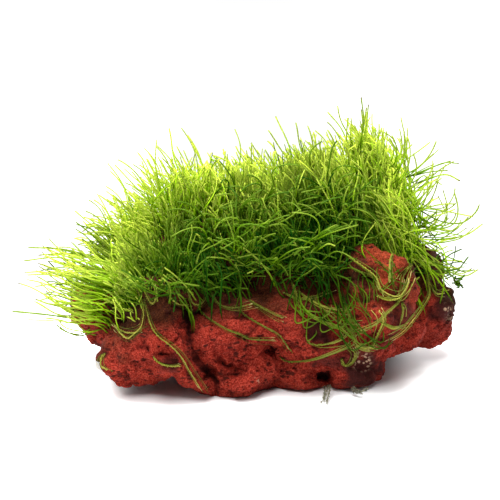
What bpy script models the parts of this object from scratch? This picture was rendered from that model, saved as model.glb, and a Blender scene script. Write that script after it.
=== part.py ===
"""Willow moss growing on a lump of red lava stone, at its real size.

+X is to the right and +Y to the back of the stone as it is usually shown, +Z is up.
The origin is on the surface that the stone stands on, under the middle of it.
Sizes and places below are in millimetres.
"""

import bmesh
import bpy
import numpy as np
from mathutils import Matrix, Vector, noise
from mathutils.bvhtree import BVHTree

MM = 0.001
GAP = 0.35

# The stone broke out of a lava flow as one piece, and its skin is a pile of angular lumps.
# Each lump has the place of its middle and its half sizes.
STONE_LUMPS = {
    "core": ((0, 8, 23), (45, 29, 20)),
    "front_wall": ((2, -8, 19), (36, 17, 15)),
    "ridge_right": ((26, 13, 31), (23, 21, 19)),
    "ridge_middle": ((2, 12, 31), (26, 20, 15)),
    "shoulder_left": ((-28, 8, 23), (20, 22, 15)),
    "nose_left": ((-44, 3, 16), (11, 12, 8)),
    "cheek_left": ((-38, -8, 17), (11, 10, 10)),
    "heel_left": ((-33.5, -26, 10.7), (10.5, 10.5, 8.5)),
    "belly_left": ((-24, -27, 13.2), (14, 11, 9)),
    "foot_left": ((-16, -27, 8.7), (9, 10, 7.5)),
    "brow_left": ((-25, -22.5, 22.6), (11, 10, 10)),
    "block_front": ((-6, -23, 18), (13, 10, 11)),
    "toe_front": ((-5, -26, 4.5), (13, 10, 8)),
    "cheek_right": ((15, -20, 16), (17, 12, 12)),
    "foot_middle": ((14, -18, 5), (14, 10.5, 7.5)),
    "boulder_right": ((36, -13, 25), (13, 13, 13)),
    "toe_right": ((29, -19, 6), (10, 10, 8.5)),
    "neck_right": ((42, -4, 12.5), (10, 12, 8.5)),
    "lobe_right": ((53, 9, 13.5), (10.5, 12, 11.5)),
    "lobe_right_top": ((47, 14, 26), (11, 12, 10)),
    "back_swell": ((-8, 31, 18), (28, 11, 15)),
    "heel_back_right": ((32, 27, 8), (14, 12, 9.5)),
    "heel_back_left": ((-28, 25, 8), (13, 11, 9.5)),
    "ridge_front": ((33.5, -17, 13.5), (9.5, 11, 9)),
}
CHIPS_PER_LUMP = 12
CHIP_DEPTH = (0.76, 0.95)
STONE_GRAIN = 1.25
STONE_TRIANGLES = 3800
# The skin's roughness, in three layers: the size of its features and their height.
SWELL_SIZE, SWELL_HEIGHT = 13, 1.6
CRAG_SIZE, CRAG_HEIGHT = 7.5, 2.4
GRIT_SIZE, GRIT_HEIGHT = 3.1, 0.6
GROUND_SIZE = 300

# The front is described as it is seen from here. Across and up are distances from the
# middle of the object, on the upright plane through it that faces the eye.
EYE = Vector((0, -485.1, 156.3))
MIDDLE = Vector((0, 0, 35.3))

# Clefts and cracks of the front: half the width, the depth, and the places each passes.
STONE_CRACKS = [
    (2.4, 5.0, [(-19.8, -17.5), (-18.9, -22.5), (-18.3, -27), (-17.1, -30.6), (-14.7, -34.2),
                (-12.4, -37)]),
    (2.0, 3.0, [(-21.7, -17.6), (-17, -18.3), (-13.9, -18.5)]),
    (1.9, 3.0, [(-12.9, -36.6), (-10.8, -40.8), (-10.2, -44)]),
    (1.6, 3.2, [(-9.6, -32.4), (-7.8, -33.9), (-5.1, -35.1), (-2.1, -36.4)]),
    (1.9, 3.5, [(20.4, -37.8), (23.4, -38.1)]),
    (1.6, 2.6, [(5.4, -29.2), (7.6, -30)]),
    (1.6, 2.4, [(-26.6, -30.4), (-23.2, -31.6)]),
    (1.7, 2.6, [(34.4, -7.6), (37.2, -10.2)]),
    (2.0, 3.2, [(46.2, -8), (46.9, -11.5)]),
]
# Wider hollows and swellings of the front: across, up, radius, and how far in, or out if
# below zero.
STONE_HOLLOWS = [
    (-36.8, -16.0, 6.0, 4.5),
    (20.8, -24.6, 6.5, 3.5),
    (33.0, -35.5, 4.5, 3.0),
    (-6.0, -38.6, 4.0, 1.8),
    (3.6, -13.2, 4.0, 1.6),
    (57.0, -23.0, 4.0, 1.8),
    (37.5, -23.0, 8.0, -2.0),
    (-13.6, -26.5, 4.5, -2.0),
    (-8.0, -28.0, 7.0, -1.2),
    (-1.0, -41.0, 6.0, -1.2),
    (-25.0, -21.5, 6.5, -1.8),
    (9.0, -22.5, 6.0, -1.4),
    (-31.0, -34.0, 5.0, -1.0),
]

# The moss covers the stone above this edge, along the front and along the back.
FRONT_EDGE_X = (-58, -46, -40, -34, -30, -15, 0, 15, 24, 30, 48, 52, 64)
FRONT_EDGE_Z = (22, 22, 20, 22, 29, 30, 32, 33, 31, 36, 36, 32, 31)
BACK_EDGE_Z = 20
EDGE_TURN_Y = -4
EDGE_TURN_RUN = 20
EDGE_WIDTH = 10
EDGE_RIPPLE_SIZE, EDGE_RIPPLE_HEIGHT = 9, 3
BARE_BOULDER = (38, -18)
BARE_BOULDER_RADIUS = 12

# How the moss leans: to the sides by its place along X, to the front and back along Y. Its
# strands are longest at the peak, and shorter at the moss's edge and at the back.
LEAN_X = (-50, -35, -15, 5, 30, 42, 50, 60)
LEAN_SIDE = (-1.1, -0.6, -0.2, -0.05, 0.0, 0.2, 0.5, 0.9)
LEAN_Y = (-32, -20, -5, 10, 25, 42)
LEAN_DEPTH = (-1.0, -0.6, -0.15, 0.05, 0.5, 1.0)
LENGTH_X = (-50, -38, -28, -10, 15, 28, 34, 42, 48, 60)
LENGTH = (12, 15, 20, 23, 23, 27, 34, 26, 14, 10)
EDGE_SHARE = 0.7
BACK_SHARE = 0.75
BACK_START_Y = 15
BACK_RUN = 20
PILE_SHARE = (0.3, 0.66)

# The middle of each clump of moss, in plan, and how many locks stand out of it.
CLUMPS = {
    "moss_left": ((-38, 6), 9),
    "moss_left_front": ((-21, -10), 9),
    "moss_left_back": ((-22, 27), 7),
    "moss_middle": ((-4, 10), 9),
    "moss_front": ((9, -14), 9),
    "moss_back": ((8, 33), 7),
    "moss_peak": ((27, 6), 10),
    "moss_right": ((49, 9), 9),
    "moss_right_back": ((37, 29), 6),
}
MOSS_SEED = 11
PLACES_TRIED = 6000
NEIGHBOUR_REACH = 42
LOCK_RADII = (2.4, 2.3, 1.9, 1.4, 0.8)
LOCK_SPACING = 6.5
LOCK_SHARE = (0.86, 1.06)
LOCK_BEND = 0.1
TUFT_RADIUS = 4.4
TUFT_ROOT = 2
TUFT_SPACING = 3.6
MOSS_GRAIN = 0.9
CLUMP_TRIANGLES = 225

# Single stems that trail out of the moss and lie on the bare front of the stone. Each has
# its radius and the places it passes, across and up as they are seen from EYE.
TRAILING = {
    "stem_long_left": (0.45, [(-31.5, -16), (-28.8, -24.3), (-23.4, -29.1), (-20.4, -32.4), (-18, -36.6),
                              (-14.8, -41.5)]),
    "stem_short_left": (0.45, [(-29.1, -31.8), (-27.6, -33.6), (-24.6, -34.8), (-20.7, -34.8)]),
    "loop_left": (0.45, [(-34.5, -10.5), (-32.1, -16.5), (-32.4, -22.2), (-34.5, -24.9), (-37.2, -26.4),
                         (-41, -22.5)]),
    "stem_bow_left": (0.45, [(-25.8, -8.5), (-24, -13.8), (-21.6, -16.2), (-18.4, -16.5)]),
    "loop_middle": (0.4, [(-18.6, -12), (-17.4, -15.6), (-15.2, -16.4), (-13.3, -14.1), (-14.4, -10)]),
    "stem_bow_middle": (0.45, [(-12.3, -9.5), (-10.2, -15.3), (-5.4, -17.4), (1, -16)]),
    "stem_long_middle": (0.45, [(-12.6, -20.3), (-7.2, -23.7), (-3.3, -25.2), (0.3, -26.7), (7.8, -27)]),
    "stem_slope_middle": (0.45, [(-1.5, -19.5), (5.1, -23.4), (8.6, -25.4), (12.3, -30.5)]),
    "stem_low_right": (0.45, [(8.7, -31.8), (10.8, -33.3), (14.1, -33.6), (18.9, -33), (23.4, -31.5),
                              (27, -30.3)]),
    "stem_upper_right": (0.45, [(16.8, -27.6), (20.1, -28.5), (23.4, -28.2), (27.5, -26.8)]),
    "stem_fall_right": (0.5, [(12.3, -9), (15.6, -16.8), (20.4, -20.7), (27, -23.1), (30, -26)]),
    "sprig_hollow": (0.7, [(27.5, -14), (29.4, -19), (30.6, -24), (32.1, -28.5), (36.6, -29.4)]),
    "curl_boulder": (0.45, [(31, -3), (37.5, -7.8), (39.3, -11.7), (42.9, -13.8), (45.3, -13.5),
                            (47.1, -10.8), (47.7, -8.2)]),
    "stem_boulder": (0.45, [(45, -15.3), (41.4, -18.9), (38.4, -21.9), (33, -24.3)]),
    "sprig_boulder": (0.9, [(44.4, 2), (42.3, -2.4), (42, -6.3), (42, -9.8)]),
    "stem_long_right": (0.5, [(52.5, -3), (53.7, -10.8), (53.4, -14.4), (48.9, -21), (45.5, -24.8),
                              (41.4, -27.3)]),
    "stem_lobe": (0.45, [(39, -21.5), (42.9, -23.4), (46.5, -22.5)]),
}

# Stray stems in the air: the radius, then across, up and the depth Y of each place.
STRAYS = {
    "stray_far_left": (0.4, [(-42, -20, -8), (-50, -20.8, -12), (-61, -19.4, -14), (-72, -18.3, -14)]),
    "curl_left": (0.4, [(-43, -21.5, -12), (-49.5, -25.5, -14), (-54, -25, -15), (-58.5, -22.2, -15)]),
    "stray_left_low": (0.4, [(-42, -12, -6), (-55, -10, -8), (-65, -11, -9)]),
    "stray_left_middle": (0.4, [(-42, -8, -2), (-56, -2.5, -4), (-68.5, -3.3, -4)]),
    "stray_left_high": (0.4, [(-42, -4, 2), (-56, 0, 2), (-67, 0.8, 1)]),
    "stray_left_top": (0.4, [(-40, 4, 6), (-47, 7, 6), (-50.5, 5.4, 5)]),
    "stray_peak": (0.45, [(33, 30, 4), (34, 39, 5), (33.3, 46.2, 5)]),
    "stray_right_top": (0.4, [(48, 22, 8), (55, 25, 8), (60.5, 26.8, 8)]),
    "stray_right_high": (0.4, [(50, 20, 4), (58.2, 22.6, 3), (63.3, 20.6, 2)]),
    "curl_right_high": (0.45, [(50, 12.5, 3), (57, 8.7, 0), (63.3, 8.1, -2), (67.5, 11.1, -2),
                               (69, 14.1, -2)]),
    "curl_right_middle": (0.4, [(51, 7, 8), (57, 6.4, 7), (61.2, 8, 7), (62.4, 12.3, 7), (61.2, 17.8, 7)]),
    "curl_right_low": (0.4, [(52, 3, 3), (59, 3.4, 0), (65, 4.6, -1), (70.2, 8.1, -1)]),
    "spray_right": (0.6, [(50, 1, -3), (54, -3, -5), (60, -7.2, -6), (61.8, -9.4, -6)]),
    "curl_right_foot": (0.4, [(54, -4, 4), (59.7, -6.5, 3), (64.5, -7.8, 3), (68.7, -5.7, 3)]),
}

# Dry ends of old stems that hang out from under the stone and lie on the ground.
WISPS = {
    "wisp_front": (0.55, [(23.5, -40.6, -31), (22.6, -43.3, -38), (21.3, -46, -46)]),
    "wisp_right": (0.5, [(31, -41.6, -31), (32.7, -42.5, -33.5), (35, -41.9, -33)]),
}
STEM_STEP = 3.8
STEM_LEAST_STEPS = 4
STEM_CLEARANCE = 0.4
LIFT_ROUNDS = 12
LIFT_OVER = 1.02
STEM_EASING = 0.3
STEM_PUSH = 0.7


def mix(a, b, amount):
    return a + (b - a) * min(max(amount, 0.0), 1.0)


def clear_scene():
    for old in list(bpy.data.objects):
        bpy.data.objects.remove(old)


def new_collection(name, shown=True):
    collection = bpy.data.collections.new(name)
    collection.hide_render = not shown
    bpy.context.scene.collection.children.link(collection)
    return collection


def new_object(name, mesh, collection):
    made = bpy.data.objects.new(name, mesh)
    collection.objects.link(made)
    return made


def put_in(obj, collection):
    for old in list(obj.users_collection):
        old.objects.unlink(obj)
    collection.objects.link(obj)
    return obj


def fixed(obj):
    """The object remade from its evaluated mesh, so its modifiers are part of its shape."""
    bpy.context.view_layer.update()
    graph = bpy.context.evaluated_depsgraph_get()
    mesh = bpy.data.meshes.new_from_object(obj.evaluated_get(graph))
    mesh.transform(obj.matrix_world)
    name = obj.name
    collection = obj.users_collection[0]
    bpy.data.objects.remove(obj)
    return new_object(name, mesh, collection)


def cut_away(obj, cutter):
    """Cuts obj with another object, which is used up, and drops any crumbs."""
    cut = obj.modifiers.new("cut", "BOOLEAN")
    cut.operation = "DIFFERENCE"
    cut.object = cutter
    cut.use_self = True
    made = fixed(obj)
    bpy.data.objects.remove(cutter)
    keep_largest_body(made)
    return made


def joined(objects):
    bpy.ops.object.select_all(action="DESELECT")
    for obj in objects:
        obj.select_set(True)
    bpy.context.view_layer.objects.active = objects[0]
    bpy.ops.object.join()
    return objects[0]


def body_of(start):
    """Every vertex that edges join to the start vertex."""
    found = {start}
    front = [start]
    while front:
        vertex = front.pop()
        for edge in vertex.link_edges:
            other = edge.other_vert(vertex)
            if other not in found:
                found.add(other)
                front.append(other)
    return found


def keep_largest_body(obj):
    """Drops the crumbs that a cut left beside the largest body."""
    work = bmesh.new()
    work.from_mesh(obj.data)
    bmesh.ops.remove_doubles(work, verts=work.verts, dist=0.01 * MM)
    bodies = []
    left = set(work.verts)
    while left:
        body = body_of(next(iter(left)))
        left -= body
        bodies.append(body)
    bodies.sort(key=len)
    for body in bodies[:-1]:
        bmesh.ops.delete(work, geom=list(body), context="VERTS")
    work.to_mesh(obj.data)
    work.free()


def material(name, colour, roughness):
    made = bpy.data.materials.new(name)
    made.use_nodes = True
    shader = made.node_tree.nodes["Principled BSDF"]
    shader.inputs["Base Color"].default_value = (*colour, 1)
    shader.inputs["Roughness"].default_value = roughness
    shader.inputs["Metallic"].default_value = 0.0
    made.diffuse_color = (*colour, 1)
    return made


def tree_of(obj):
    """A search tree of the object's faces, in millimetres."""
    obj.data.calc_loop_triangles()
    points = [vertex.co / MM for vertex in obj.data.vertices]
    faces = [tuple(face.vertices) for face in obj.data.loop_triangles]
    return BVHTree.FromPolygons(points, faces)


def seen_at(across, up, y):
    """The place at depth y that is seen from EYE at this distance across and up."""
    sight = (MIDDLE - EYE).normalized()
    upward = Vector((1, 0, 0)).cross(sight)
    ray = MIDDLE + Vector((across, 0, 0)) + upward * up - EYE
    return EYE + ray * ((y - EYE.y) / ray.y)


def laid_on(tree, across, up):
    """The first place of the tree's surface that is seen there, or None."""
    start = seen_at(across, up, -200)
    return tree.ray_cast(start, start - EYE)[0]


def chipped_lump(centre, half_sizes, seed, collection):
    """An angular lump: a ball with flat chips knocked off it, stretched to its half sizes."""
    bpy.ops.mesh.primitive_ico_sphere_add(subdivisions=4, radius=1)
    lump = put_in(bpy.context.object, collection)
    rng = np.random.default_rng(seed)
    points = np.array([vertex.co for vertex in lump.data.vertices])
    for _ in range(CHIPS_PER_LUMP):
        normal = rng.normal(size=3)
        normal /= np.linalg.norm(normal)
        over = points @ normal - rng.uniform(*CHIP_DEPTH)
        points -= np.outer(np.maximum(over, 0), normal)
    points = (points * half_sizes + centre) * MM
    lump.data.vertices.foreach_set("co", points.ravel())
    return lump


def roughen(stone):
    """Moves every vertex along its normal by layers of noise, the craggy skin of lava."""
    moved = []
    for vertex in stone.data.vertices:
        at = vertex.co / MM
        swell = SWELL_HEIGHT * noise.noise(at / SWELL_SIZE + Vector((7, 3, 1)))
        crag = 1.0 - CRAG_HEIGHT * abs(noise.noise(at / CRAG_SIZE + Vector((40, 0, 9))))
        grit = GRIT_HEIGHT * noise.noise(at / GRIT_SIZE)
        moved.append(vertex.co + vertex.normal * (swell + crag + grit) * MM)
    for vertex, place in zip(stone.data.vertices, moved):
        vertex.co = place
    stone.data.update()


def off_line(spots, line):
    """How far each spot is from a bent line."""
    least = np.full(len(spots), np.inf)
    for a, b in zip(np.array(line)[:-1], np.array(line)[1:]):
        along = np.clip((spots - a) @ (b - a) / ((b - a) @ (b - a)), 0, 1)
        away = spots - a - along[:, None] * (b - a)
        least = np.minimum(least, np.linalg.norm(away, axis=1))
    return least


def carve_front(stone):
    """Sinks the cracks and hollows of the front away from the eye, and raises its swellings."""
    places = np.array([vertex.co for vertex in stone.data.vertices]) / MM
    normals = np.array([vertex.normal for vertex in stone.data.vertices])
    eye, middle = np.array(EYE), np.array(MIDDLE)
    sight = (middle - eye) / np.linalg.norm(middle - eye)
    ray = places - eye
    spot = eye + ray * ((middle - eye) @ sight / (ray @ sight))[:, None] - middle
    spots = np.stack((spot[:, 0], spot @ np.cross((1, 0, 0), sight)), axis=1)
    sunk = np.zeros(len(places))
    for half, depth, line in STONE_CRACKS:
        sunk = np.maximum(sunk, depth * np.clip(1.4 - off_line(spots, line) / half, 0, 1))
    for across, up, radius, depth in STONE_HOLLOWS:
        away = np.linalg.norm(spots - (across, up), axis=1) / radius
        sunk += depth * np.clip(1 - away**2, 0, 1)
    facing = np.clip((-(normals @ sight) - 0.05) / 0.35, 0, 1)
    places += np.outer(facing * sunk, sight)
    stone.data.vertices.foreach_set("co", (places * MM).ravel())
    stone.data.update()


def moss_cover(at):
    """How far inside the moss a place on the stone lies, from 0 on bare stone to 1."""
    front = float(np.interp(at.x, FRONT_EDGE_X, FRONT_EDGE_Z))
    edge = mix(front, BACK_EDGE_Z, (at.y - EDGE_TURN_Y) / EDGE_TURN_RUN)
    ripple = EDGE_RIPPLE_HEIGHT * noise.noise(at / EDGE_RIPPLE_SIZE)
    height = (at.z + ripple - edge) / EDGE_WIDTH
    from_boulder = (at.xy - Vector(BARE_BOULDER)).length / BARE_BOULDER_RADIUS
    return mix(0.0, 1.0, min(height, 2 * (from_boulder - 1)))


def strand_flow(at):
    """The way the moss grows from a place on the stone."""
    side = float(np.interp(at.x, LEAN_X, LEAN_SIDE))
    depth = float(np.interp(at.y, LEAN_Y, LEAN_DEPTH))
    return Vector((side, depth, 0.3 + 0.8 * moss_cover(at))).normalized()


def strand_length(at):
    length = float(np.interp(at.x, LENGTH_X, LENGTH)) * mix(EDGE_SHARE, 1.0, moss_cover(at))
    return length * mix(1.0, BACK_SHARE, (at.y - BACK_START_Y) / BACK_RUN)


def build_stone(collection, cutters):
    """One solid of lava: its lumps grown together, roughened, and flat where it stands."""
    lumps = [
        chipped_lump(*size, seed, collection)
        for seed, size in enumerate(STONE_LUMPS.values())
    ]
    stone = joined(lumps)
    stone.name = "lava_stone"
    fuse = stone.modifiers.new("fuse", "REMESH")
    fuse.mode = "VOXEL"
    fuse.voxel_size = STONE_GRAIN * MM
    stone = fixed(stone)
    roughen(stone)
    carve_front(stone)
    hidden = stone.vertex_groups.new(name="hidden")
    for vertex in stone.data.vertices:
        at = vertex.co / MM
        bare = at.z > 3 and moss_cover(at) < 0.3
        hidden.add([vertex.index], 0.9 if bare else 1.0, "REPLACE")
    stone.data.calc_loop_triangles()
    thin = stone.modifiers.new("thin", "DECIMATE")
    thin.ratio = STONE_TRIANGLES / len(stone.data.loop_triangles)
    thin.vertex_group = "hidden"
    stone.modifiers.new("facets", "TRIANGULATE")
    stone = fixed(stone)
    bpy.ops.mesh.primitive_cube_add(size=GROUND_SIZE * MM, location=(0, 0, -GROUND_SIZE / 2 * MM))
    ground = put_in(bpy.context.object, cutters)
    ground.hide_render = True
    ground.display_type = "WIRE"
    return cut_away(stone, ground)


def grown(stone, distance, collection):
    """The stone made larger all round by a distance, to cut what lies on it."""
    work = bmesh.new()
    work.from_mesh(stone.data)
    work.normal_update()
    steps = {}
    for vertex in work.verts:
        step = vertex.normal * distance
        for face in list(vertex.link_faces) * 12:
            step += face.normal * max(distance - step.dot(face.normal), 0)
        steps[vertex] = step
    for vertex, step in steps.items():
        vertex.co += step * MM
    mesh = bpy.data.meshes.new("stone_cutter")
    work.to_mesh(mesh)
    work.free()
    return new_object("stone_cutter", mesh, collection)


def clump_at(at):
    """The name of the clump whose middle is nearest in plan."""
    return min(CLUMPS, key=lambda name: (at.xy - Vector(CLUMPS[name][0])).length)


def pile_height(at):
    """How high the moss is dense; the ends of its locks stand out above that."""
    return strand_length(at) * mix(*PILE_SHARE, moss_cover(at))


def mossy_places(stone, rng):
    """Places spread over the mossy part of the stone, in random order."""
    faces = [f for f in stone.data.polygons if moss_cover(f.center / MM) > 0]
    areas = np.array([face.area for face in faces])
    places = []
    for pick in rng.choice(len(faces), PLACES_TRIED, p=areas / areas.sum()):
        corners = [stone.data.vertices[v].co / MM for v in faces[pick].vertices]
        shares = rng.dirichlet(np.ones(len(corners)))
        at = sum((corner * share for corner, share in zip(corners, shares)), Vector())
        if moss_cover(at) > 0 and strand_flow(at).dot(faces[pick].normal) > 0:
            places.append(at)
    return places


def spread(paths, spacing, wanted=None):
    """The paths in turn, leaving out those that start too near to one already taken."""
    taken = []
    for path in paths:
        if all((path[0] - other[0]).length > spacing for other in taken):
            taken.append(path)
        if len(taken) == wanted:
            break
    return taken


def seams(name, stone_tree):
    """The planes that part a clump from its neighbours, leaning the way the moss leans."""
    here = Vector(CLUMPS[name][0])
    planes = []
    for other, (place, _) in CLUMPS.items():
        away = Vector(place) - here
        if other == name or away.length > NEIGHBOUR_REACH:
            continue
        above = (here + away / 2).to_3d() + Vector((0, 0, 200))
        middle = stone_tree.ray_cast(above, Vector((0, 0, -1)))[0]
        flow = strand_flow(middle)
        across = away.to_3d()
        normal = (across - flow * across.dot(flow)).normalized()
        planes.append((middle - normal * GAP, normal))
    return planes


def inside(planes, points, radii):
    """Whether a lock stays on its own side of every seam."""
    return all(
        (point - place).dot(normal) + radius < 0
        for place, normal in planes
        for point, radius in zip(points, radii)
    )


def tube(name, points, radii, collection):
    """A round solid along the points, with a radius at each."""
    curve = bpy.data.curves.new(name, "CURVE")
    curve.dimensions = "3D"
    curve.bevel_depth = MM
    curve.bevel_resolution = 1
    curve.use_fill_caps = True
    spline = curve.splines.new("POLY")
    spline.points.add(len(points) - 1)
    for knot, place, radius in zip(spline.points, points, radii):
        knot.co = (*(place * MM), 1)
        knot.radius = radius
    made = fixed(new_object(name, curve, collection))
    keep_largest_body(made)
    return made


def lock_points(root, rng):
    """A lock's path: it leaves the stone the way the moss grows there, then bends a little."""
    flow = strand_flow(root)
    length = strand_length(root) * rng.uniform(*LOCK_SHARE)
    bend = Vector(rng.normal(size=3)) * LOCK_BEND
    steps = np.linspace(0, 1, len(LOCK_RADII))
    return [root + (flow * t + bend * t * t) * length for t in steps]


def tuft(at, collection):
    """A rounded tuft of the dense moss, set in the stone and drawn out along the strands."""
    height = pile_height(at)
    flow = strand_flow(at)
    bpy.ops.mesh.primitive_ico_sphere_add(subdivisions=2, radius=1)
    made = put_in(bpy.context.object, collection)
    made.scale = Vector((TUFT_RADIUS, TUFT_RADIUS, height / 2 + TUFT_ROOT)) * MM
    made.location = (at + flow * (height / 2 - TUFT_ROOT)) * MM
    made.rotation_mode = "QUATERNION"
    made.rotation_quaternion = flow.to_track_quat("Z", "Y")
    return fixed(made)


def trim(obj, planes):
    """Cuts the object flat along each seam."""
    work = bmesh.new()
    work.from_mesh(obj.data)
    for place, normal in planes:
        cut = bmesh.ops.bisect_plane(
            work,
            geom=work.verts[:] + work.edges[:] + work.faces[:],
            dist=0.001 * MM,
            plane_co=place * MM,
            plane_no=normal,
            clear_outer=True,
        )
        rim = [item for item in cut["geom_cut"] if isinstance(item, bmesh.types.BMEdge)]
        bmesh.ops.holes_fill(work, edges=rim, sides=0)
    bmesh.ops.recalc_face_normals(work, faces=work.faces)
    work.to_mesh(obj.data)
    work.free()


def build_clumps(stone, collection, cutters):
    """Each clump is one solid: tufts and locks grown together, cut to lie on the stone."""
    rng = np.random.default_rng(MOSS_SEED)
    places = mossy_places(stone, rng)
    stone_tree = tree_of(stone)
    clumps = []
    for name, (_, lock_count) in CLUMPS.items():
        own = [at for at in places if clump_at(at) == name]
        planes = seams(name, stone_tree)
        parts = [tuft(at, cutters) for at, in spread([(at,) for at in own], TUFT_SPACING)]
        locks = [lock_points(at, rng) for at in own]
        free = [points for points in locks if inside(planes, points, LOCK_RADII)]
        for points in spread(free, LOCK_SPACING, lock_count):
            parts.append(tube("lock", points, LOCK_RADII, cutters))
        clump = joined(parts)
        clump.name = name
        put_in(clump, collection)
        fuse = clump.modifiers.new("fuse", "REMESH")
        fuse.mode = "VOXEL"
        fuse.voxel_size = MOSS_GRAIN * MM
        clump = fixed(clump)
        clump.data.calc_loop_triangles()
        thin = clump.modifiers.new("thin", "DECIMATE")
        thin.ratio = CLUMP_TRIANGLES / len(clump.data.loop_triangles)
        clump = fixed(clump)
        trim(clump, planes)
        clumps.append(cut_away(clump, grown(stone, GAP, cutters)))
    return clumps


def smooth_path(points, step):
    """Places about one step apart on a smooth curve through the points, closer on a short one."""
    run = sum((b - a).length for a, b in zip(points, points[1:]))
    step = min(step, run / STEM_LEAST_STEPS)
    known = [2 * points[0] - points[1], *points, 2 * points[-1] - points[-2]]
    path = []
    for a, b, c, d in zip(known, known[1:], known[2:], known[3:]):
        count = max(1, round((c - b).length / step))
        for t in np.arange(count) / count:
            curve = 2 * b + (c - a) * t + (2 * a - 5 * b + 4 * c - d) * t**2
            path.append((curve + (3 * b - a - 3 * c + d) * t**3) / 2)
    return [*path, points[-1]]


def buried(point, tree):
    """Whether the point is inside the solid: a line out of it leaves an odd number of times."""
    outward = Vector((0.13, -1, 0.21)).normalized()
    crossings = 0
    hit = tree.ray_cast(point, outward)[0]
    while hit:
        crossings += 1
        hit = tree.ray_cast(hit + outward * 0.001, outward)[0]
    return crossings % 2 == 1


def lifted(point, reach, trees):
    """The point moved off the surfaces until it is at least the reach away from all."""
    for _ in range(LIFT_ROUNDS):
        for tree in trees:
            near, _, _, distance = tree.find_nearest(point)
            away = (point - near).normalized()
            if buried(point, tree):
                point = near - away * reach * LIFT_OVER
            elif distance < reach:
                point = near + away * reach * LIFT_OVER
    return point


def longest_free_run(points, reach, trees):
    """The longest stretch of the path that is outside the moss."""
    runs = [[]]
    for point in points:
        free = True
        for tree in trees:
            if tree.find_nearest(point)[3] < reach or buried(point, tree):
                free = False
        if free:
            runs[-1].append(point)
        elif runs[-1]:
            runs.append([])
    return max(runs, key=len)


def finish_stem(name, radius, path, free_of, lie_on, collection):
    """Trims a stem's path out of the moss, lifts it clear of what it lies on and rounds it."""
    reach = radius + STEM_CLEARANCE
    path = longest_free_run(path, reach, free_of)
    near = lie_on + free_of
    for _ in range(3):
        path = [lifted(point, reach, near) for point in path]
        eased = [a.lerp((b + c) / 2, STEM_EASING) for b, a, c in zip(path, path[1:], path[2:])]
        path = [path[0], *eased, path[-1]]
    for share in (0.5, 0.25, 0.75) * 4:
        path = [lifted(point, reach, near) for point in path]
        between = [a.lerp(b, share) for a, b in zip(path, path[1:])]
        pushes = [lifted(point, reach, near) - point for point in between]
        for index, push in enumerate(pushes):
            path[index] = path[index] + push * STEM_PUSH
            path[index + 1] = path[index + 1] + push * STEM_PUSH
    radii = np.interp(np.linspace(0, 1, len(path)), (0, 0.7, 1), (radius, radius * 0.9, radius * 0.6))
    return tube(name, path, radii, collection)


def build_stems(stone, clumps, collection):
    """The trailing stems, the strays and the wisps, each clear of all that came before."""
    stone_tree = tree_of(stone)
    moss_trees = [tree_of(clump) for clump in clumps]
    under = [stone_tree]
    stems = []
    wisps = []
    for name, (radius, places) in TRAILING.items():
        sketch = [Vector((across, up, 0)) for across, up in places]
        path = [laid_on(stone_tree, *place.xy) for place in smooth_path(sketch, STEM_STEP)]
        path = [place for place in path if place]
        stem = finish_stem(name, radius, path, moss_trees, under, collection)
        under.append(tree_of(stem))
        stems.append(stem)
    for made, table in ((stems, STRAYS), (wisps, WISPS)):
        for name, (radius, places) in table.items():
            path = smooth_path([seen_at(*place) for place in places], STEM_STEP)
            for place in path:
                place.z = max(place.z, radius + 0.05)
            stem = finish_stem(name, radius, path, moss_trees, under, collection)
            under.append(tree_of(stem))
            made.append(stem)
    return stems, wisps


def stand_on_origin(objects):
    """Moves the whole object so that the origin is under its middle, on what it stands on."""
    places = np.array([vertex.co for obj in objects for vertex in obj.data.vertices])
    low, high = places.min(axis=0), places.max(axis=0)
    middle = (low + high) / 2
    for obj in objects:
        obj.data.transform(Matrix.Translation((-middle[0], -middle[1], -low[2])))


def main():
    clear_scene()
    model = new_collection("willow_moss_on_stone")
    cutters = new_collection("cutters", shown=False)
    lava = material("lava", (0.24, 0.028, 0.016), 0.95)
    moss = material("willow_moss", (0.14, 0.30, 0.01), 0.6)
    young = material("young_stem", (0.36, 0.42, 0.05), 0.6)
    dry = material("dry_stem", (0.25, 0.24, 0.12), 0.9)
    stone = build_stone(model, cutters)
    clumps = build_clumps(stone, model, cutters)
    stems, wisps = build_stems(stone, clumps, model)
    for pieces, finish in (([stone], lava), (clumps, moss), (stems, young), (wisps, dry)):
        for piece in pieces:
            piece.data.materials.clear()
            piece.data.materials.append(finish)
    stand_on_origin([stone, *clumps, *stems, *wisps])


if __name__ == "__main__":
    main()
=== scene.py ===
"""A lump of red lava stone overgrown with willow moss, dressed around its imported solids.

+X is to the right, +Y to the back and +Z up. Lengths are in millimetres until they go
into a mesh or a shader, which are in metres.
"""

from itertools import product

import bpy
import numpy as np
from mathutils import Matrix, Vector
from mathutils.bvhtree import BVHTree


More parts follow.
